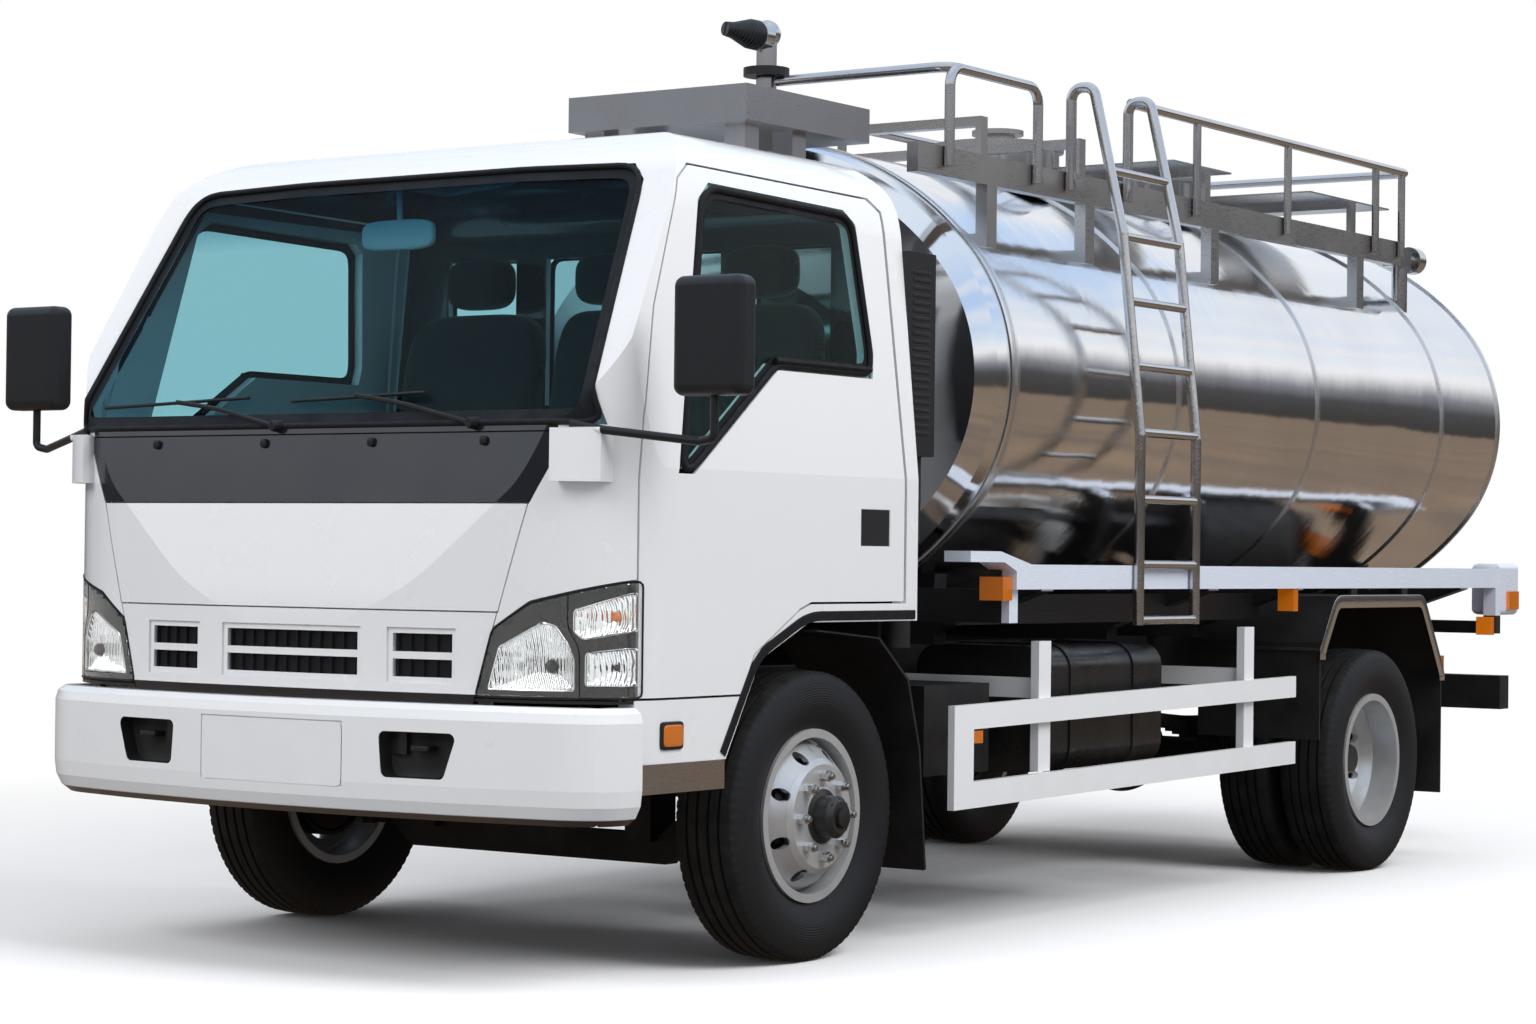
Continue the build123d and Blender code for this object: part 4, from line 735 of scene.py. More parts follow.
NODE_FINISHES = {
    "shell paint": "cab_shell", "roof paint": "cab_roof", "cab paint": "front_panel",
    "grille paint": "grille_panel", "bumper paint": "bumper", "band black": "cowl_band",
    "door paint": "door_left door_right", "mirror shell": "mirrors", "fuel": "fuel_tank",
    "plastic": "front_mudguards rear_mudguards wipers air_intake battery_box",
    "sheet": "cab_steps walkway manhole_lid_front manhole_lid_rear", "dash": "dashboard",
    "seat frame": "steering_wheel seat_bases", "cloth": "seat_cushions seat_backs",
    "screen": "windscreen_glass", "window": "rear_window_glass door_left_glass door_right_glass",
    "bezel": "headlamps", "amber": "marker_lamps",
    "cast": "knuckle_left knuckle_right tie_rod engine_and_gearbox",
    "chassis": "chassis_frame front_axle_beam rear_axle_housing leaf_springs propeller_shaft tank_saddles",
    "exhaust": "exhaust", "tank": "tank_shell", "tube": "handrails ladder rear_valve", "tray": "roof_tray",
    "nozzle": "spray_head", "deck": "deck_frame", "guard": "side_guards",
    "front wheel": "front_left_wheel front_right_wheel", "rear wheel": "rear_left_wheel rear_right_wheel",
    "front tyre": "front_left_tyre front_right_tyre", "rear tyre": "rear_left_tyre rear_right_tyre",
}


# ---------------------------------------------------------------- settings
class TRUCK_PG_paint(bpy.types.PropertyGroup):
    cab_colour: FloatVectorProperty(name="Cab colour", description="Paint of the cab and bumper",
                                    subtype="COLOR", size=3, min=0, max=1, default=(0.80, 0.81, 0.83))
    floor_colour: FloatVectorProperty(name="Floor colour", description="The studio floor",
                                      subtype="COLOR", size=3, min=0, max=1, default=(0.86, 0.86, 0.87))


class TRUCK_PG_tyres(bpy.types.PropertyGroup):
    groove_depth: FloatProperty(name="Groove depth", description="Depth of the tread's long grooves",
                                unit="LENGTH", default=0.010, min=0.0, max=0.02)
    notch_count: IntProperty(name="Shoulder notches", description="Cuts round each shoulder",
                             default=84, min=12, max=120)


class TRUCK_PG_studio(bpy.types.PropertyGroup):
    lens: FloatProperty(name="Lens", description="Focal length in millimetres",
                        default=76.64, min=20, max=200)
    key_power: FloatProperty(name="Key lamp", description="Power of the large overhead lamp",
                             unit="POWER", default=700.0, min=0)
    sky_strength: FloatProperty(name="Sky strength", description="Light from all round",
                                default=0.58, min=0)
    show_floor: BoolProperty(name="Floor", description="Show the pale floor", default=True)


SIDES = (("left", 1), ("right", -1))


# ---------------------------------------------------------------- pieces
class TRUCK_OT_finishes(bpy.types.Operator):
    """Gives every solid of the frame its finish"""
    bl_idname = "truck.finishes"
    bl_label = "Finishes"

    def execute(self, context):
        chosen = {node: name for name, nodes in NODE_FINISHES.items() for node in nodes.split()}
        for name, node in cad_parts.items():
            material = finish(chosen[name])
            if node.material_slots:
                for place in node.material_slots:
                    place.material = material
            else:
                node.data.materials.append(material)
        return {"FINISHED"}


TREAD_GROOVES = (-0.052, -0.018, 0.018, 0.052)
GROOVE_TOP, GROOVE_FLOOR = 0.0052, 0.0036     # half widths
SHOULDER, SHOULDER_REACH, NOTCH_DEPTH = 0.090, 0.012, 0.005
BEAD, CROWN = 0.2245, 0.45                    # radius of the rim's seat, and the crown's fall


def tread_profile(depth):
    """The tyre's section all round, from bead to bead over the crown and back inside, with four long grooves;
    the crown's radius is R - CROWN a^2 at a distance a from its middle."""

    def crown_at(along):
        return AXLE_Z - CROWN * along ** 2

    flank = [(0.076, BEAD), (0.079, 0.241), (0.092, 0.262), (0.1045, 0.290), (0.1095, 0.318), (0.1075, 0.345),
             (0.1015, 0.366), (0.0960, 0.380), (0.0915, 0.3885), (0.0880, 0.3925), (0.0840, 0.3950)]
    crown = []
    for middle in TREAD_GROOVES[::-1]:
        rise = crown_at(middle)
        crown += [(middle + GROOVE_TOP, rise), (middle + GROOVE_FLOOR, rise - depth),
                  (middle - GROOVE_FLOOR, rise - depth), (middle - GROOVE_TOP, rise)]
        if middle > TREAD_GROOVES[0]:
            crown += [(middle - 0.017, crown_at(middle - 0.017))]
    left = [(-along, radius) for along, radius in flank[::-1]]
    half = [(0.080, 0.374), (0.098, 0.340), (0.098, 0.300), (0.086, 0.262), (0.070, BEAD)]
    liner = [(-along, radius) for along, radius in half[::-1]] + [(0.0, 0.3835)] + half
    return np.array(flank + crown + left + liner)


def tyre_surface(centre_x, axle_y, settings):
    """The section turned about the axle; near each shoulder the radius drops inside evenly spaced notches."""
    profile = tread_profile(settings.groove_depth)
    count = settings.notch_count * 4
    t = np.arange(count) * 2 * np.pi / count
    along, radius = profile[:, :1], profile[:, 1:]
    notch = (np.arange(count) % 4 == 0)[None].astype(float)
    shoulder = np.clip(1 - np.abs(np.abs(along) - SHOULDER) / SHOULDER_REACH, 0, 1) * (radius > 0.379)
    radius = radius - NOTCH_DEPTH * shoulder * notch
    points = np.stack([np.broadcast_to(centre_x + along, radius.shape), axle_y + radius * np.cos(t),
                       AXLE_Z + radius * np.sin(t)], -1)
    return surface(points, wrap_rows=True, wrap_cols=True)


class TRUCK_OT_tyres(bpy.types.Operator):
    """Tyres with grooved tread and notched shoulders, in place of the plain ones"""
    bl_idname = "truck.tyres"
    bl_label = "Tyres"

    def execute(self, context):
        settings = context.scene.truck_tyres
        for side, sign in SIDES:
            for end, body, axle, places in (("front", "front_wheel", FRONT_AXLE, FRONT_TYRE_X),
                                            ("rear", "rear_wheels", REAR_AXLE, REAR_TYRES_X)):
                rings = [tyre_surface(sign * x, axle, settings) for x in places]
                make_piece(f"{end}_{side}_tyre_tread", rings, f"{end} tyre", f"{body}_{side}",
                           [f"{end}_{side}_tyre"])
        return {"FINISHED"}


def around_axle(radius, turn, axle_y, first=np.cos, second=np.sin):
    """A point on the axle's line moved out to a place on a ring of that radius."""
    return 0, axle_y + radius * first(turn), AXLE_Z + radius * second(turn)


class TRUCK_OT_wheel_trim(bpy.types.Operator):
    """Hub caps, bolt rings and valve stems"""
    bl_idname = "truck.wheel_trim"
    bl_label = "Wheel trim"

    def execute(self, context):
        turns = np.arange(8) * np.pi / 4
        hub_face = FRONT_FACE + 0.062
        cap = [(0.0005, 0.0), (0.0005, 0.026), (0.0005, 0.027), (0.006, 0.029), (0.012, 0.027),
               (0.013, 0.024), (0.013, 0.0)]
        hub_bolt = [(-0.018, 0.0), (-0.018, 0.006), (-0.006, 0.006), (-0.005, 0.005), (-0.005, 0.0)]
        stud = [(-0.002, 0.0), (-0.002, 0.0095), (0.008, 0.0095), (0.011, 0.007), (0.011, 0.0)]
        for side, sign in SIDES:

            def turned(profile, start, at, segments):
                """The profile turned about a line across the truck, outwards from start."""
                return lathe([(sign * (start + along), radius) for along, radius in profile], at,
                             segments=segments)

            parts = [turned(cap, hub_face, (0, FRONT_AXLE, AXLE_Z), 64)]
            parts += [turned(hub_bolt, hub_face, around_axle(0.047, turn, FRONT_AXLE), 6) for turn in turns]
            make_piece(f"front_{side}_hub_cap", parts, "plastic", f"front_wheel_{side}")
            for body, axle, face in ((f"front_wheel_{side}", FRONT_AXLE, FRONT_FACE),
                                     (f"rear_wheels_{side}", REAR_AXLE, REAR_FACE)):
                studs = [turned(stud, face + 0.026, around_axle(0.111, turn, axle, np.sin, np.cos), 16)
                         for turn in turns]
                if axle == FRONT_AXLE:
                    stem = bent_path([(sign * x, axle, AXLE_Z + up)
                                      for x, up in ((0.905, 0.213), (0.935, 0.206), (0.962, 0.192))], 0.012)
                    studs.append(tube(stem, 0.0042, (0, 1, 0), 10))
                make_piece(f"{body}_studs", studs, "bolt", body)
        return {"FINISHED"}


# outlines on the cab: (x, z) on its front, (distance behind the front axle, z) on its flank
SCREEN_HALF = [(0.400, 2.128), (0.760, 2.118), (0.800, 2.080), (0.890, 1.500), (0.905, 1.452)]
SCREEN = [(-x, z) for x, z in SCREEN_HALF[::-1]] + SCREEN_HALF
DOOR_WINDOW = [(-0.690, 1.335), (-0.650, 1.335), (-0.235, 1.625), (0.225, 1.625), (0.235, 1.680),
               (0.190, 2.030), (0.150, 2.058), (-0.480, 2.070), (-0.530, 2.030)]


def on_front(flat, lift=0.0):
    """Flat (x, z) points laid on the cab's front; lift brings them forward."""
    return np.stack([flat[:, 0], front_y(flat[:, 0], flat[:, 1]) - lift, flat[:, 1]], -1)


def on_flank(flat, lift=0.0):
    """Flat (distance behind the front axle, z) points laid on the cab's left flank."""
    return np.stack([side_x(flat[:, 1]) + lift, FRONT_AXLE + flat[:, 0], flat[:, 1]], -1)


def ribbon(inner, outer, place, lift, steps):
    """A flat band between two matching outlines, laid on a surface by place."""
    share = np.linspace(0, 1, steps + 1)[:, None, None]
    flat = inner[None] * (1 - share) + outer[None] * share
    return surface(np.stack([place(row, lift) for row in flat]), wrap_cols=True)


class TRUCK_OT_glazing_trim(bpy.types.Operator):
    """Black edge bands and rubber round the windscreen, door windows and rear windows"""
    bl_idname = "truck.glazing_trim"
    bl_label = "Glazing trim"

    def execute(self, context):
        band_lift = -0.0045
        inner = fill_in(rounded_loop(grow(SCREEN, -0.022), 0.06), 0.02)
        opening = rounded_loop(grow(SCREEN, 0.012), 0.05)
        edge = fill_in(fill_in(opening, 0.02), count=len(inner))
        make_piece("windscreen_black_edge", [ribbon(edge, inner, on_front, band_lift, 4)], "glass edge",
                   recalculate=False)
        gasket = on_front(fill_in(opening, 0.015), 0.0005)
        make_piece("windscreen_rubber", [tube(gasket, 0.0085, (0, 1, 0.25), 10, True)], "seal")
        opening = rounded_loop(grow(DOOR_WINDOW, 0.004), 0.035)
        seal = tube(on_flank(fill_in(opening, 0.012), -0.001), 0.010, (1, 0, 0), 10, True, flat=0.8)
        rim = fill_in(rounded_loop(grow(DOOR_WINDOW, -0.022), 0.03), 0.015)
        edge = fill_in(fill_in(opening, 0.015), count=len(rim))
        sill = tube(on_flank(np.array([(-0.245, 1.632), (0.226, 1.632)]), 0.004), 0.009, (1, 0, 0), 8)
        parts = [seal, ribbon(rim, edge, on_flank, band_lift, 2), sill]
        for side, sign in SIDES:
            made = parts if sign > 0 else [mirrored(part) for part in parts]
            make_piece(f"door_{side}_window_rubber", made, "seal", f"door_{side}")
        rear = []
        for x0, x1 in ((-0.720, -0.440), (-0.330, 0.330), (0.440, 0.720)):
            corners = np.array([(x0, 1.560), (x1, 1.560), (x1, 2.010), (x0, 2.010)])
            loop = fill_in(rounded_loop(grow(corners, 0.004), 0.04), 0.02)
            path = np.stack([loop[:, 0], np.full(len(loop), ahead(0.4455)), loop[:, 1]], -1)
            rear.append(tube(path, 0.009, (0, 1, 0), 8, True))
        make_piece("rear_window_rubber", rear, "seal")
        return {"FINISHED"}


LAMP_OUTLINE = [(0.606, 0.744), (0.653, 0.913), (0.760, 0.983), (0.985, 1.042), (0.985, 0.744)]
LAMP_WINDOWS = {
    "main": [(0.642, 0.763), (0.674, 0.872), (0.793, 0.934), (0.823, 0.927), (0.850, 0.885), (0.867, 0.844),
             (0.868, 0.763)],
    "upper": [(0.866, 0.966), (0.978, 1.012), (0.978, 0.914), (0.888, 0.892), (0.866, 0.913)],
    "lower": [(0.892, 0.858), (0.978, 0.872), (0.978, 0.776), (0.892, 0.776)],
}
BULBS = {"main": (0.805, 0.824, 0.018), "upper": (0.940, 0.950, 0.013), "lower": (0.942, 0.822, 0.009)}
LAMP_CORNER, BOWL_DEPTH = 0.012, 0.027


def bowl(corners, bulb):
    """A bowl under a lamp window: rings shrink from the window's edge to the bulb as the depth grows with the
    square root of the way in; P = edge + (bulb - edge) s, inward by depth sqrt(s)."""
    edge = fill_in(rounded_loop(grow(corners, 0.0015), 0.008), 0.004)
    share = np.linspace(0, 1, 14)
    rows = [on_front(edge + (np.array(bulb[:2]) - edge) * s, -0.003 - BOWL_DEPTH * np.sqrt(s)) for s in share]
    return surface(np.stack(rows), wrap_cols=True, flip=True)


class TRUCK_OT_headlamps(bpy.types.Operator):
    """Reflector bowls, bulbs, window rims and clear covers of the headlamps"""
    bl_idname = "truck.headlamps"
    bl_label = "Headlamps"

    def execute(self, context):
        bowls, rims, bulbs = [], [], {}
        for name, corners in LAMP_WINDOWS.items():
            x, z, radius = BULBS[name]
            bowls.append(bowl(corners, BULBS[name]))
            path = on_front(fill_in(rounded_loop(corners, 0.008), 0.005), -0.0015)
            rims.append(tube(path, 0.0028, (0, 1, 0.1), 8, True))
            centre = np.array([x, front_at(x, z) + 0.022, z])
            bulbs[name] = rounded_block(centre - radius, centre + radius, 2.0, 16, 24)
        make_piece("headlamp_reflectors", both_sides(*bowls), "reflector", recalculate=False)
        make_piece("headlamp_rims", both_sides(*rims), "rail")
        make_piece("headlamp_bulbs", both_sides(bulbs["main"], bulbs["lower"]), "bezel")
        make_piece("headlamp_signal_bulbs", both_sides(bulbs["upper"]), "amber")
        outline = rounded_loop(LAMP_OUTLINE, LAMP_CORNER)
        flat, faces = flat_sheet(outline, 0.012)
        cover = (on_front(flat, 0.0006), faces[:, ::-1])
        covers = make_piece("headlamp_covers", both_sides(cover), "clear", recalculate=False)
        thick = covers.modifiers.new("Thickness", "SOLIDIFY")
        thick.thickness = 0.0012
        thick.offset = -1
        seam = tube(on_front(fill_in(outline, 0.008)), 0.0032, (0, 1, 0.1), 8, True)
        divider = on_front(np.array([(0.853, 1.006), (0.853, 0.925), (0.880, 0.868), (0.881, 0.746)]), 0.0008)
        joint = tube(bent_path(divider, 0.02), 0.0018, (0, 1, 0), 6)
        make_piece("headlamp_seams", both_sides(seam, joint), "seal")
        return {"FINISHED"}


BUMPER_X, BUMPER_Y = (0, 0.25, 0.6, 0.9), (-1.150, -1.143, -1.102, -1.04)


def front_at(x, z):
    """Y of the cab's front at one place."""
    return float(front_y(np.array(x), np.array(z)))


def on_bumper(flat, depth):
    """Flat (x, z) points laid on the bumper's bowed front, sunk by a depth."""
    bow = np.interp(np.abs(flat[:, 0]), BUMPER_X, BUMPER_Y)
    return np.stack([flat[:, 0], FRONT_AXLE + bow + depth, flat[:, 1]], -1)


def box_outline(x0, x1, z0, z1):
    """A box's four corners."""
    return np.array([(x0, z0), (x1, z0), (x1, z1), (x0, z1)])


class TRUCK_OT_front_trim(bpy.types.Operator):
    """Grille backing, fog pockets, blank plate, washer jets and side lamps"""
    bl_idname = "truck.front_trim"
    bl_label = "Front trim"

    def execute(self, context):
        backs = []
        for x0, x1 in ((-0.53, -0.34), (-0.24, 0.24), (0.34, 0.535)):
            flat = np.stack(np.meshgrid(np.linspace(x0, x1, 12), np.linspace(0.780, 0.906, 4)), -1)
            backs.append(surface(on_front(flat.reshape(-1, 2), -0.0205).reshape(4, 12, 3)))
        slats = np.linspace(0.36, 0.52, 5)
        for x in np.concatenate([np.linspace(-0.22, 0.22, 12), slats, -slats]):
            y = front_at(x, 0.84)
            backs.append(rounded_block((x - 0.002, y + 0.010, 0.785), (x + 0.002, y + 0.021, 0.900),
                                       8, 6, 12))
        make_piece("grille_backing", backs, "grille black", recalculate=False)
        pocket = [(0.372, 0.532), (0.362, 0.650), (0.600, 0.650), (0.560, 0.532)]
        edge = fill_in(rounded_loop(pocket, 0.03), 0.012)
        middle = edge.mean(0)
        walls = ((1.0, 0.002), (0.985, 0.046), (0.9, 0.0485), (0.5, 0.0487), (0.0, 0.0488))
        rows = [on_bumper(middle + (edge - middle) * share, depth) for share, depth in walls]
        bar = rounded_block((0.452, ahead(-1.112), 0.600), (0.512, ahead(-1.068), 0.616), 6)
        make_piece("fog_pocket_liners", both_sides(surface(np.stack(rows), wrap_cols=True, flip=True), bar),
                   "plastic", recalculate=False)
        flat, faces = flat_sheet(rounded_loop(box_outline(-0.247, 0.247, 0.502, 0.668), 0.012), 0.02)
        make_piece("blank_plate", [(on_bumper(flat, 0.0022), faces)], "plate", recalculate=False)
        jets = []
        z = 1.392
        for x in (-0.56, -0.16, 0.22, 0.60):
            at = np.array([x, front_at(x, z), z])
            jets.append(rounded_block(at - (0.011, 0.012, 0.010), at + (0.011, 0.006, 0.014), 3))
        make_piece("washer_jets", jets, "plastic")
        marker = rounded_block((0.996, ahead(-0.772), 0.620), (1.012, ahead(-0.692), 0.676), 7)
        surround = rounded_block((0.994, ahead(-0.780), 0.612), (1.007, ahead(-0.684), 0.684), 8)
        make_piece("side_lamp_lenses", both_sides(marker), "amber")
        make_piece("side_lamp_frames", both_sides(surround), "plastic")
        return {"FINISHED"}


class TRUCK_OT_mirror_glass(bpy.types.Operator):
    """Mirror glasses in the backs of the mirror heads, and the mirror inside the cab"""
    bl_idname = "truck.mirror_glass"
    bl_label = "Mirrors"

    def execute(self, context):
        flat, faces = flat_sheet(rounded_loop(box_outline(1.118, 1.292, 1.524, 1.786), 0.03), 0.03)
        sheet = np.stack([flat[:, 0], np.full(len(flat), ahead(-0.85) + 0.0425), flat[:, 1]], -1)
        make_piece("mirror_glasses", both_sides((sheet, faces[:, ::-1])), "mirror glass", recalculate=False)
        inner = rounded_block((-0.18, ahead(-0.615), 1.940), (0.08, ahead(-0.585), 2.025), 4)
        path = [(-0.05, ahead(y), z) for y, z in ((-0.595, 2.005), (-0.598, 2.085), (-0.60, 2.115))]
        stalk = tube(path, 0.008, (1, 0, 0), 10)
        make_piece("inner_mirror", [inner, stalk], "inner mirror")
        return {"FINISHED"}


# each wiper as (x, z): the pivot, the elbow and the tip of its arm, then the ends of its blade
WIPERS = (((-0.12, 1.440), (-0.36, 1.492), (-0.52, 1.512), (-0.80, 1.500), (-0.27, 1.520)),
          ((0.560, 1.440), (0.30, 1.496), (0.13, 1.520), (-0.10, 1.508), (0.36, 1.524)))


class TRUCK_OT_wipers(bpy.types.Operator):
    """Wiper arms and blades on the windscreen"""
    bl_idname = "truck.wipers"
    bl_label = "Wipers"

    def execute(self, context):
        parts = []
        for *arm, start, end in WIPERS:
            path = bent_path(on_front(np.array(arm), 0.022), 0.06)
            parts.append(tube(path, 0.0065, (0, 1, 0), 8, flat=0.6))
            line = np.linspace(start, end, 12)
            parts.append(tube(on_front(line, 0.012), 0.0045, (0, 1, 0), 8))
            parts.append(tube(on_front(line, 0.002), 0.004, (0, 1, 0), 6))
            x, z = arm[0]
            y = front_at(x, z)
            spindle = [(-0.030, 0.0), (-0.030, 0.012), (-0.022, 0.015), (0.008, 0.017), (0.008, 0.0)]
            parts.append(lathe([(y + along, radius) for along, radius in spindle], (x, 0, z), "y", 20))
        make_piece("wiper_arms", parts, "plastic", stand_for=["wipers"])
        return {"FINISHED"}


SEATS = {"driver": (0.300, 0.780), "middle": (-0.190, 0.180), "passenger": (-0.780, -0.230)}
SEAT_LEAN = 0.158


def pad(lo, hi, crown, power=4.5):
    """A stuffed pad: a soft-edged block whose faces swell by a crown that falls to nothing at the seams."""
    points, faces = rounded_block(lo, hi, power, 36, 64)
    lo, hi = np.asarray(lo), np.asarray(hi)
    unit = (points - (lo + hi) / 2) / ((hi - lo) / 2)
    swell = (1 - unit[:, 0] ** 4) * (1 - unit[:, 1] ** 4)
    points[:, 2] += crown * swell * np.sign(unit[:, 2]) * np.abs(unit[:, 2])
    return points, faces


def lean(part):
    """Shears an upright pad back with height, as the seat's back leans."""
    points, faces = part
    points[:, 1] += (points[:, 2] - 1.21) * SEAT_LEAN
    return points, faces


class TRUCK_OT_seats(bpy.types.Operator):
    """Padded cushions, backs and headrests"""
    bl_idname = "truck.seats"
    bl_label = "Seats"

    def execute(self, context):
        for name, (x0, x1) in SEATS.items():
            middle = (x0 + x1) / 2
            cushion = pad((x0 + 0.004, ahead(-0.326), 1.192), (x1 - 0.004, ahead(0.156), 1.318), 0.008)
            back = lean(pad((x0 + 0.014, ahead(0.166), 1.214), (x1 - 0.014, ahead(0.256), 1.836), 0.0, 5.0))
            rest = pad((middle - 0.122, ahead(0.270), 1.856), (middle + 0.122, ahead(0.352), 2.004),
                       0.004, 3.6)
            for kind, part, node, fill in (("cushion", cushion, "seat_cushions", 0.85),
                                           ("back", back, "seat_backs", 0.85),
                                           ("headrest", rest, "seat_backs", 0.9)):
                piece = make_piece(f"seat_{kind}_{name}", [part], "cloth", stand_for=[node],
                                   recalculate=False)
        return {"FINISHED"}


class TRUCK_OT_air_intake(bpy.types.Operator):
    """The intake's louvres and its ribbed hose"""
    bl_idname = "truck.air_intake"
    bl_label = "Air intake"

    def execute(self, context):
        rib, pitch = 0.0035, 0.0225
        z = np.linspace(0.852, 1.152, 121)
        radius = 0.046 - rib + rib * np.cos(z * 2 * np.pi / pitch)
        hose = lathe(np.vstack([[(z[0], 0.0)], np.stack([z, radius], -1), [(z[-1], 0.0)]]),
                     (0.885, ahead(0.507), 0), "z", 40)
        louvres = [rounded_block((0.953, ahead(0.475), up), (0.957, ahead(0.575), up + 0.011), 6, 8, 12)
                   for up in np.arange(1.46, 1.94, 0.022)]
        make_piece("intake_hose", [hose] + louvres, "plastic")
        return {"FINISHED"}


def flat_band(path, width, thick, x, way):
    """A flat strip x to x + thick whose one edge follows a (y, z) path and whose other lies width across it:
    Q = P + way w n, with n the path's normal in its plane."""
    step = np.gradient(path, axis=0)
    normal = np.stack([-step[:, 1], step[:, 0]], -1) / np.linalg.norm(step, axis=1, keepdims=True)
    far = path + way * width * normal
    rows = [(path, x), (path, x + thick * 0.7), ((path * 0.93 + far * 0.07), x + thick),
            ((path * 0.07 + far * 0.93), x + thick), (far, x + thick * 0.7), (far, x)]
    ring = np.stack([np.column_stack([np.full(len(line), depth), line]) for line, depth in rows], 1)
    ends = ring.mean(1, keepdims=True).repeat(ring.shape[1], 1)
    return surface(np.concatenate([ends[:1], ring, ends[-1:]]), wrap_cols=True)


class TRUCK_OT_guard_trim(bpy.types.Operator):
    """Bright rims of the rear mudguards and black lips round the front wheel arches"""
    bl_idname = "truck.guard_trim"
    bl_label = "Mudguard trim"

    def execute(self, context):
        guard = [(3.006, 0.770), (3.006, 0.806), (3.136, 0.994), (3.904, 0.994), (4.099, 0.704),
                 (4.099, 0.672)]
        arch = [(-0.494, 0.585), (-0.341, 0.834), (-0.108, 0.934), (0.430, 0.934)]
        for name, line, bend, band, kind in (
                ("mudguard_rims", guard, 0.05, (0.045, 0.003, 1.0555, -1), "rail"),
                ("arch_lips", arch, 0.06, (0.026, 0.006, 0.9985, 1), "seal")):
            path = bent_path([(ahead(y), z) for y, z in line], bend)
            make_piece(name, both_sides(flat_band(path, *band)), kind)
        return {"FINISHED"}


# ---------------------------------------------------------------- studio
FLOOR_REACH = 60.0
CAMERA_PLACE = (5.925, -9.396, 1.110)
CAMERA_TURN = (34.55, 0.76, 0.69)      # degrees round from the truck's front, up, and rolled
# name, place, aim, size, share of the key lamp's power
LAMPS = (("key_lamp", (8.0, -1.5, 8.0), (0, 0, 1.0), 6.0, 1.12),
         ("front_lamp", (-1.5, -10.0, 6.5), (0, -2, 1.2), 5.0, 0.62),
         ("rear_lamp", (1.0, 9.0, 7.5), (0, 0, 1.4), 6.0, 0.35))


class TRUCK_OT_studio(bpy.types.Operator):
    """Floor, lamps, sky and camera"""
    bl_idname = "truck.studio"
    bl_label = "Studio"

    def execute(self, context):
        settings, paint = context.scene.truck_studio, context.scene.truck_paint
        line = np.linspace(-FLOOR_REACH, FLOOR_REACH, 9)
        xx, yy = np.meshgrid(line, line)
        mesh = bpy.data.meshes.new("studio_floor")
        points, faces = surface(np.stack([xx, yy, np.full_like(xx, -0.0005)], -1))
        mesh.from_pydata(points.tolist(), [], faces.tolist())
        floor = bpy.data.objects.new("studio_floor", mesh)
        context.scene.collection.objects.link(floor)
        mesh.materials.append(floor_finish(tuple(paint.floor_colour)))
        floor.hide_render = not settings.show_floor
        for name, place, aim, size, share in LAMPS:
            lamp(name, place, aim, size, settings.key_power * share)
        sky(context.scene, settings.sky_strength)
        camera = bpy.data.cameras.new("camera")
        camera.lens, camera.sensor_width = settings.lens, 36.0
        camera.clip_start, camera.clip_end = 0.1, 300.0
        holder = bpy.data.objects.new("camera", camera)
        context.scene.collection.objects.link(holder)
        turn, pitch, roll = np.radians(CAMERA_TURN)
        forward = np.array([-np.sin(turn) * np.cos(pitch), np.cos(turn) * np.cos(pitch), np.sin(pitch)])
        right = np.array([np.cos(turn), np.sin(turn), 0.0])
        up = np.cross(right, forward)
        right, up = right * np.cos(roll) + up * np.sin(roll), up * np.cos(roll) - right * np.sin(roll)
        rows = np.column_stack([right, up, -forward])
        holder.matrix_world = Matrix.Translation(CAMERA_PLACE) @ Matrix(rows.tolist()).to_4x4()
        context.scene.camera = holder
        context.scene.view_settings.view_transform = "Standard"
        return {"FINISHED"}


def floor_finish(colour):
    """Pale studio floor that fades to white far out; in reflections it is warm paving that glows, its glow
    cut near the truck as a painted shadow, and it sends up little light under the truck."""
    made = Finish("Studio floor", colour, 0.9)
    tree = made.tree
    out = given(tree, "VectorMath", {0: made.place}, "Value", operation="LENGTH")
    pale = given(tree, "BsdfDiffuse", {"Color": (*darker(colour, 1.12), 1)})
    white = given(tree, "Emission", {"Color": (1, 1, 1, 1), "Strength": 1.0})
    seen = given(tree, "MixShader", {0: out.step(3.4, 6.2), 1: pale, 2: white})
    dim = given(tree, "BsdfDiffuse", {"Color": (0.30, 0.30, 0.30, 1)})
    stones = mix(made.noise(0.9, 6).step(0.35, 0.7), (0.30, 0.22, 0.16), (0.16, 0.135, 0.12))
    # painted shadow: the paving's glow falls to 0.05 within 1.3 m of the middle, standing in for the truck's
    # shadow on the ground in reflections
    paving = given(tree, "Emission", {"Color": stones, "Strength": out.step(1.3, 3.0, 0.05, 1.0)})
    tree.links.new(by_ray(tree, seen, paving, dim).socket, tree.nodes["Material Output"].inputs["Surface"])
    return made.material


def lamp(name, place, aim, size, power):
    """A large soft square lamp that points at a place."""
    light = bpy.data.lights.new(name, "AREA")
    light.size, light.energy = size, power
    holder = bpy.data.objects.new(name, light)
    holder.location = place
    holder.rotation_euler = (Vector(aim) - Vector(place)).to_track_quat("-Z", "Y").to_euler()
    holder.visible_glossy = False
    bpy.context.scene.collection.objects.link(holder)


# the reflected sky's colours by height, from the horizon to overhead
SKY_STOPS = ((0.0, (0.055, 0.052, 0.050)), (0.09, (0.075, 0.075, 0.080)), (0.15, (0.24, 0.25, 0.28)),
             (0.24, (0.98, 0.98, 1.00)), (0.38, (0.66, 0.80, 1.00)), (0.62, (0.50, 0.68, 1.00)),
             (1.0, (0.85, 0.92, 1.00)))


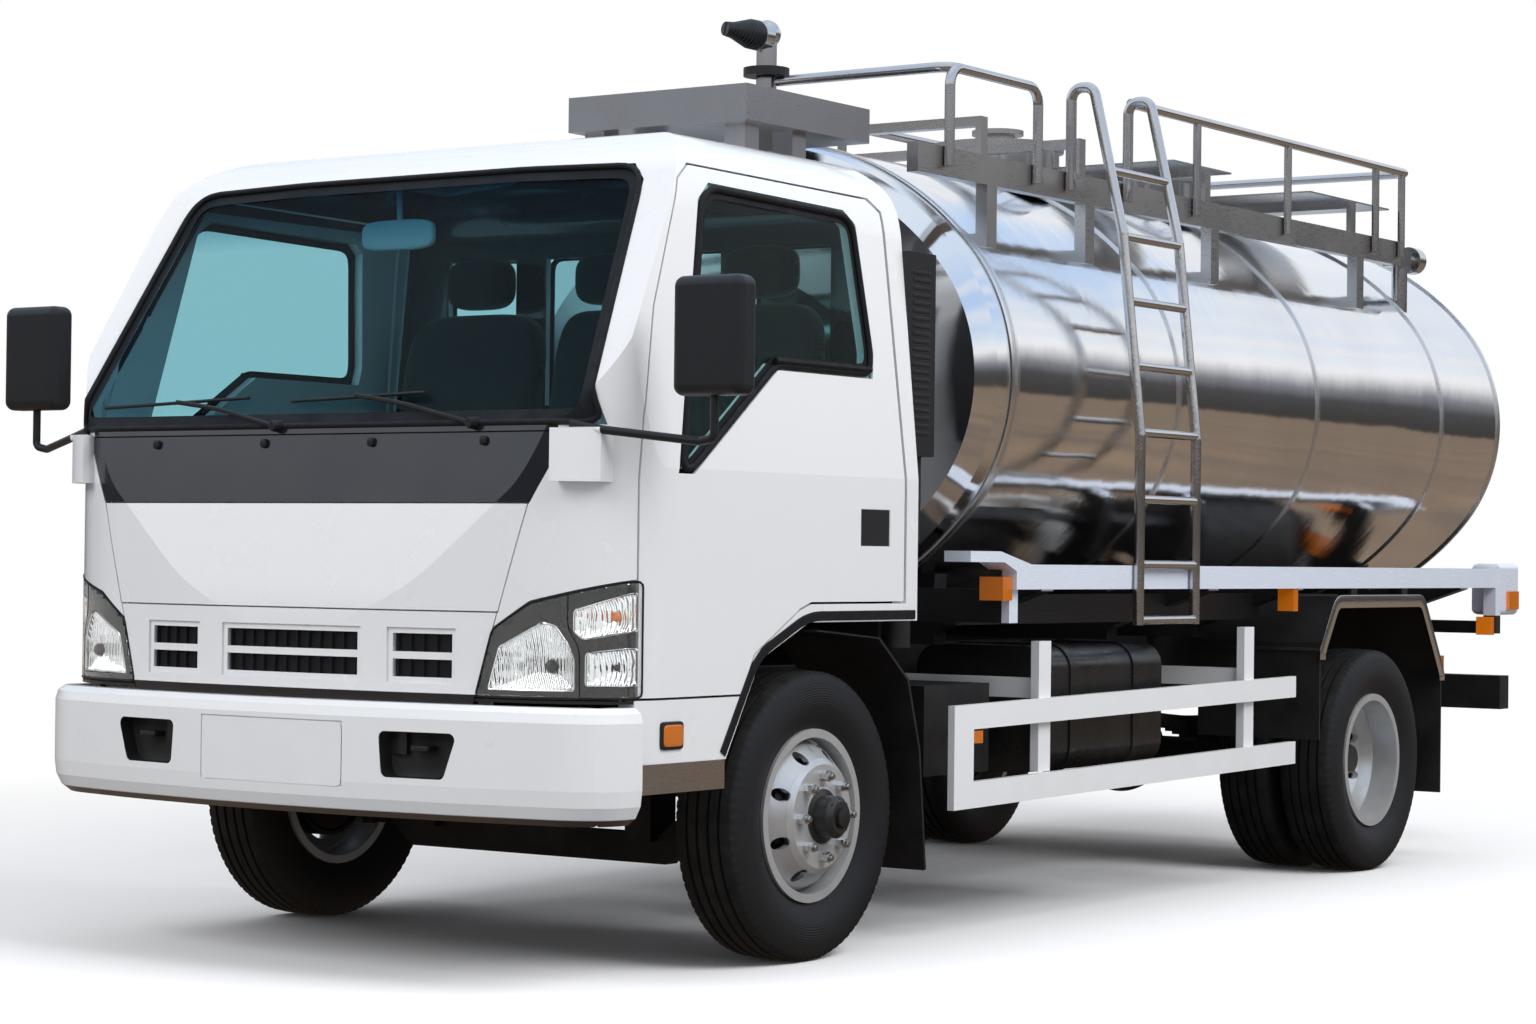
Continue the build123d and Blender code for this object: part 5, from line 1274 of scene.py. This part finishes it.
def sky(scene, strength):
    """White to the camera; to the object a pale sky over a dark far line, with long soft clouds."""
    world = bpy.data.worlds.new("studio sky")
    world.use_nodes = True
    scene.world = world
    tree = world.node_tree
    place = given(tree, "TexCoord", output="Generated")
    height = given(tree, "SeparateXYZ", {"Vector": place}, "Z")
    ramp = add_node(tree, "ValToRGB", {"Fac": height})
    for index, (at, colour) in enumerate(SKY_STOPS):
        stop = ramp.color_ramp.elements[index] if index < 2 else ramp.color_ramp.elements.new(at)
        stop.position, stop.color = at, (*colour, 1)
    stretched = given(tree, "Mapping", {"Vector": place, "Scale": (0.7, 0.7, 4.5)})
    cloud = given(tree, "TexNoise", {"Vector": stretched, "Scale": 2.6, "Detail": 7.0}, "Fac")
    clouds = mix(cloud.step(0.50, 0.66) * height.step(0.16, 0.30), Value(ramp.outputs["Color"]),
                 (0.95, 0.95, 0.96))

    def light(colour, level):
        return given(tree, "Background", {"Color": colour, "Strength": level})

    final = by_ray(tree, light((1, 1, 1, 1), 1.0), light(clouds, 1.0), light((0.95, 0.97, 1.0, 1), strength))
    tree.links.new(final.socket, tree.nodes["World Output"].inputs["Surface"])


class TRUCK_PT_panel(bpy.types.Panel):
    """Lists the truck's pieces and settings"""
    bl_idname = "TRUCK_PT_panel"
    bl_label = "Tanker truck"
    bl_space_type = "VIEW_3D"
    bl_region_type = "UI"
    bl_category = "Truck"

    def draw(self, context):
        for group in (context.scene.truck_paint, context.scene.truck_tyres, context.scene.truck_studio):
            box = self.layout.box()
            for key in group.__annotations__:
                box.prop(group, key)
        for operator in OPERATORS:
            self.layout.operator(operator.bl_idname)


OPERATORS = (
    TRUCK_OT_finishes, TRUCK_OT_tyres, TRUCK_OT_wheel_trim, TRUCK_OT_glazing_trim, TRUCK_OT_headlamps,
    TRUCK_OT_front_trim, TRUCK_OT_mirror_glass, TRUCK_OT_wipers, TRUCK_OT_seats, TRUCK_OT_air_intake,
    TRUCK_OT_guard_trim, TRUCK_OT_studio,
)
GROUPS = {"truck_paint": TRUCK_PG_paint, "truck_tyres": TRUCK_PG_tyres, "truck_studio": TRUCK_PG_studio}


def register():
    for group in GROUPS.values():
        bpy.utils.register_class(group)
    for name, group in GROUPS.items():
        setattr(bpy.types.Scene, name, PointerProperty(type=group))
    for operator in OPERATORS:
        bpy.utils.register_class(operator)
    bpy.utils.register_class(TRUCK_PT_panel)


def unregister():
    bpy.utils.unregister_class(TRUCK_PT_panel)
    for operator in reversed(OPERATORS):
        bpy.utils.unregister_class(operator)
    for name, group in GROUPS.items():
        delattr(bpy.types.Scene, name)
        bpy.utils.unregister_class(group)


def main():
    """Makes every piece in order."""
    register()
    for operator in OPERATORS:
        group, name = operator.bl_idname.split(".")
        getattr(getattr(bpy.ops, group), name)()


if __name__ == "__main__":
    main()
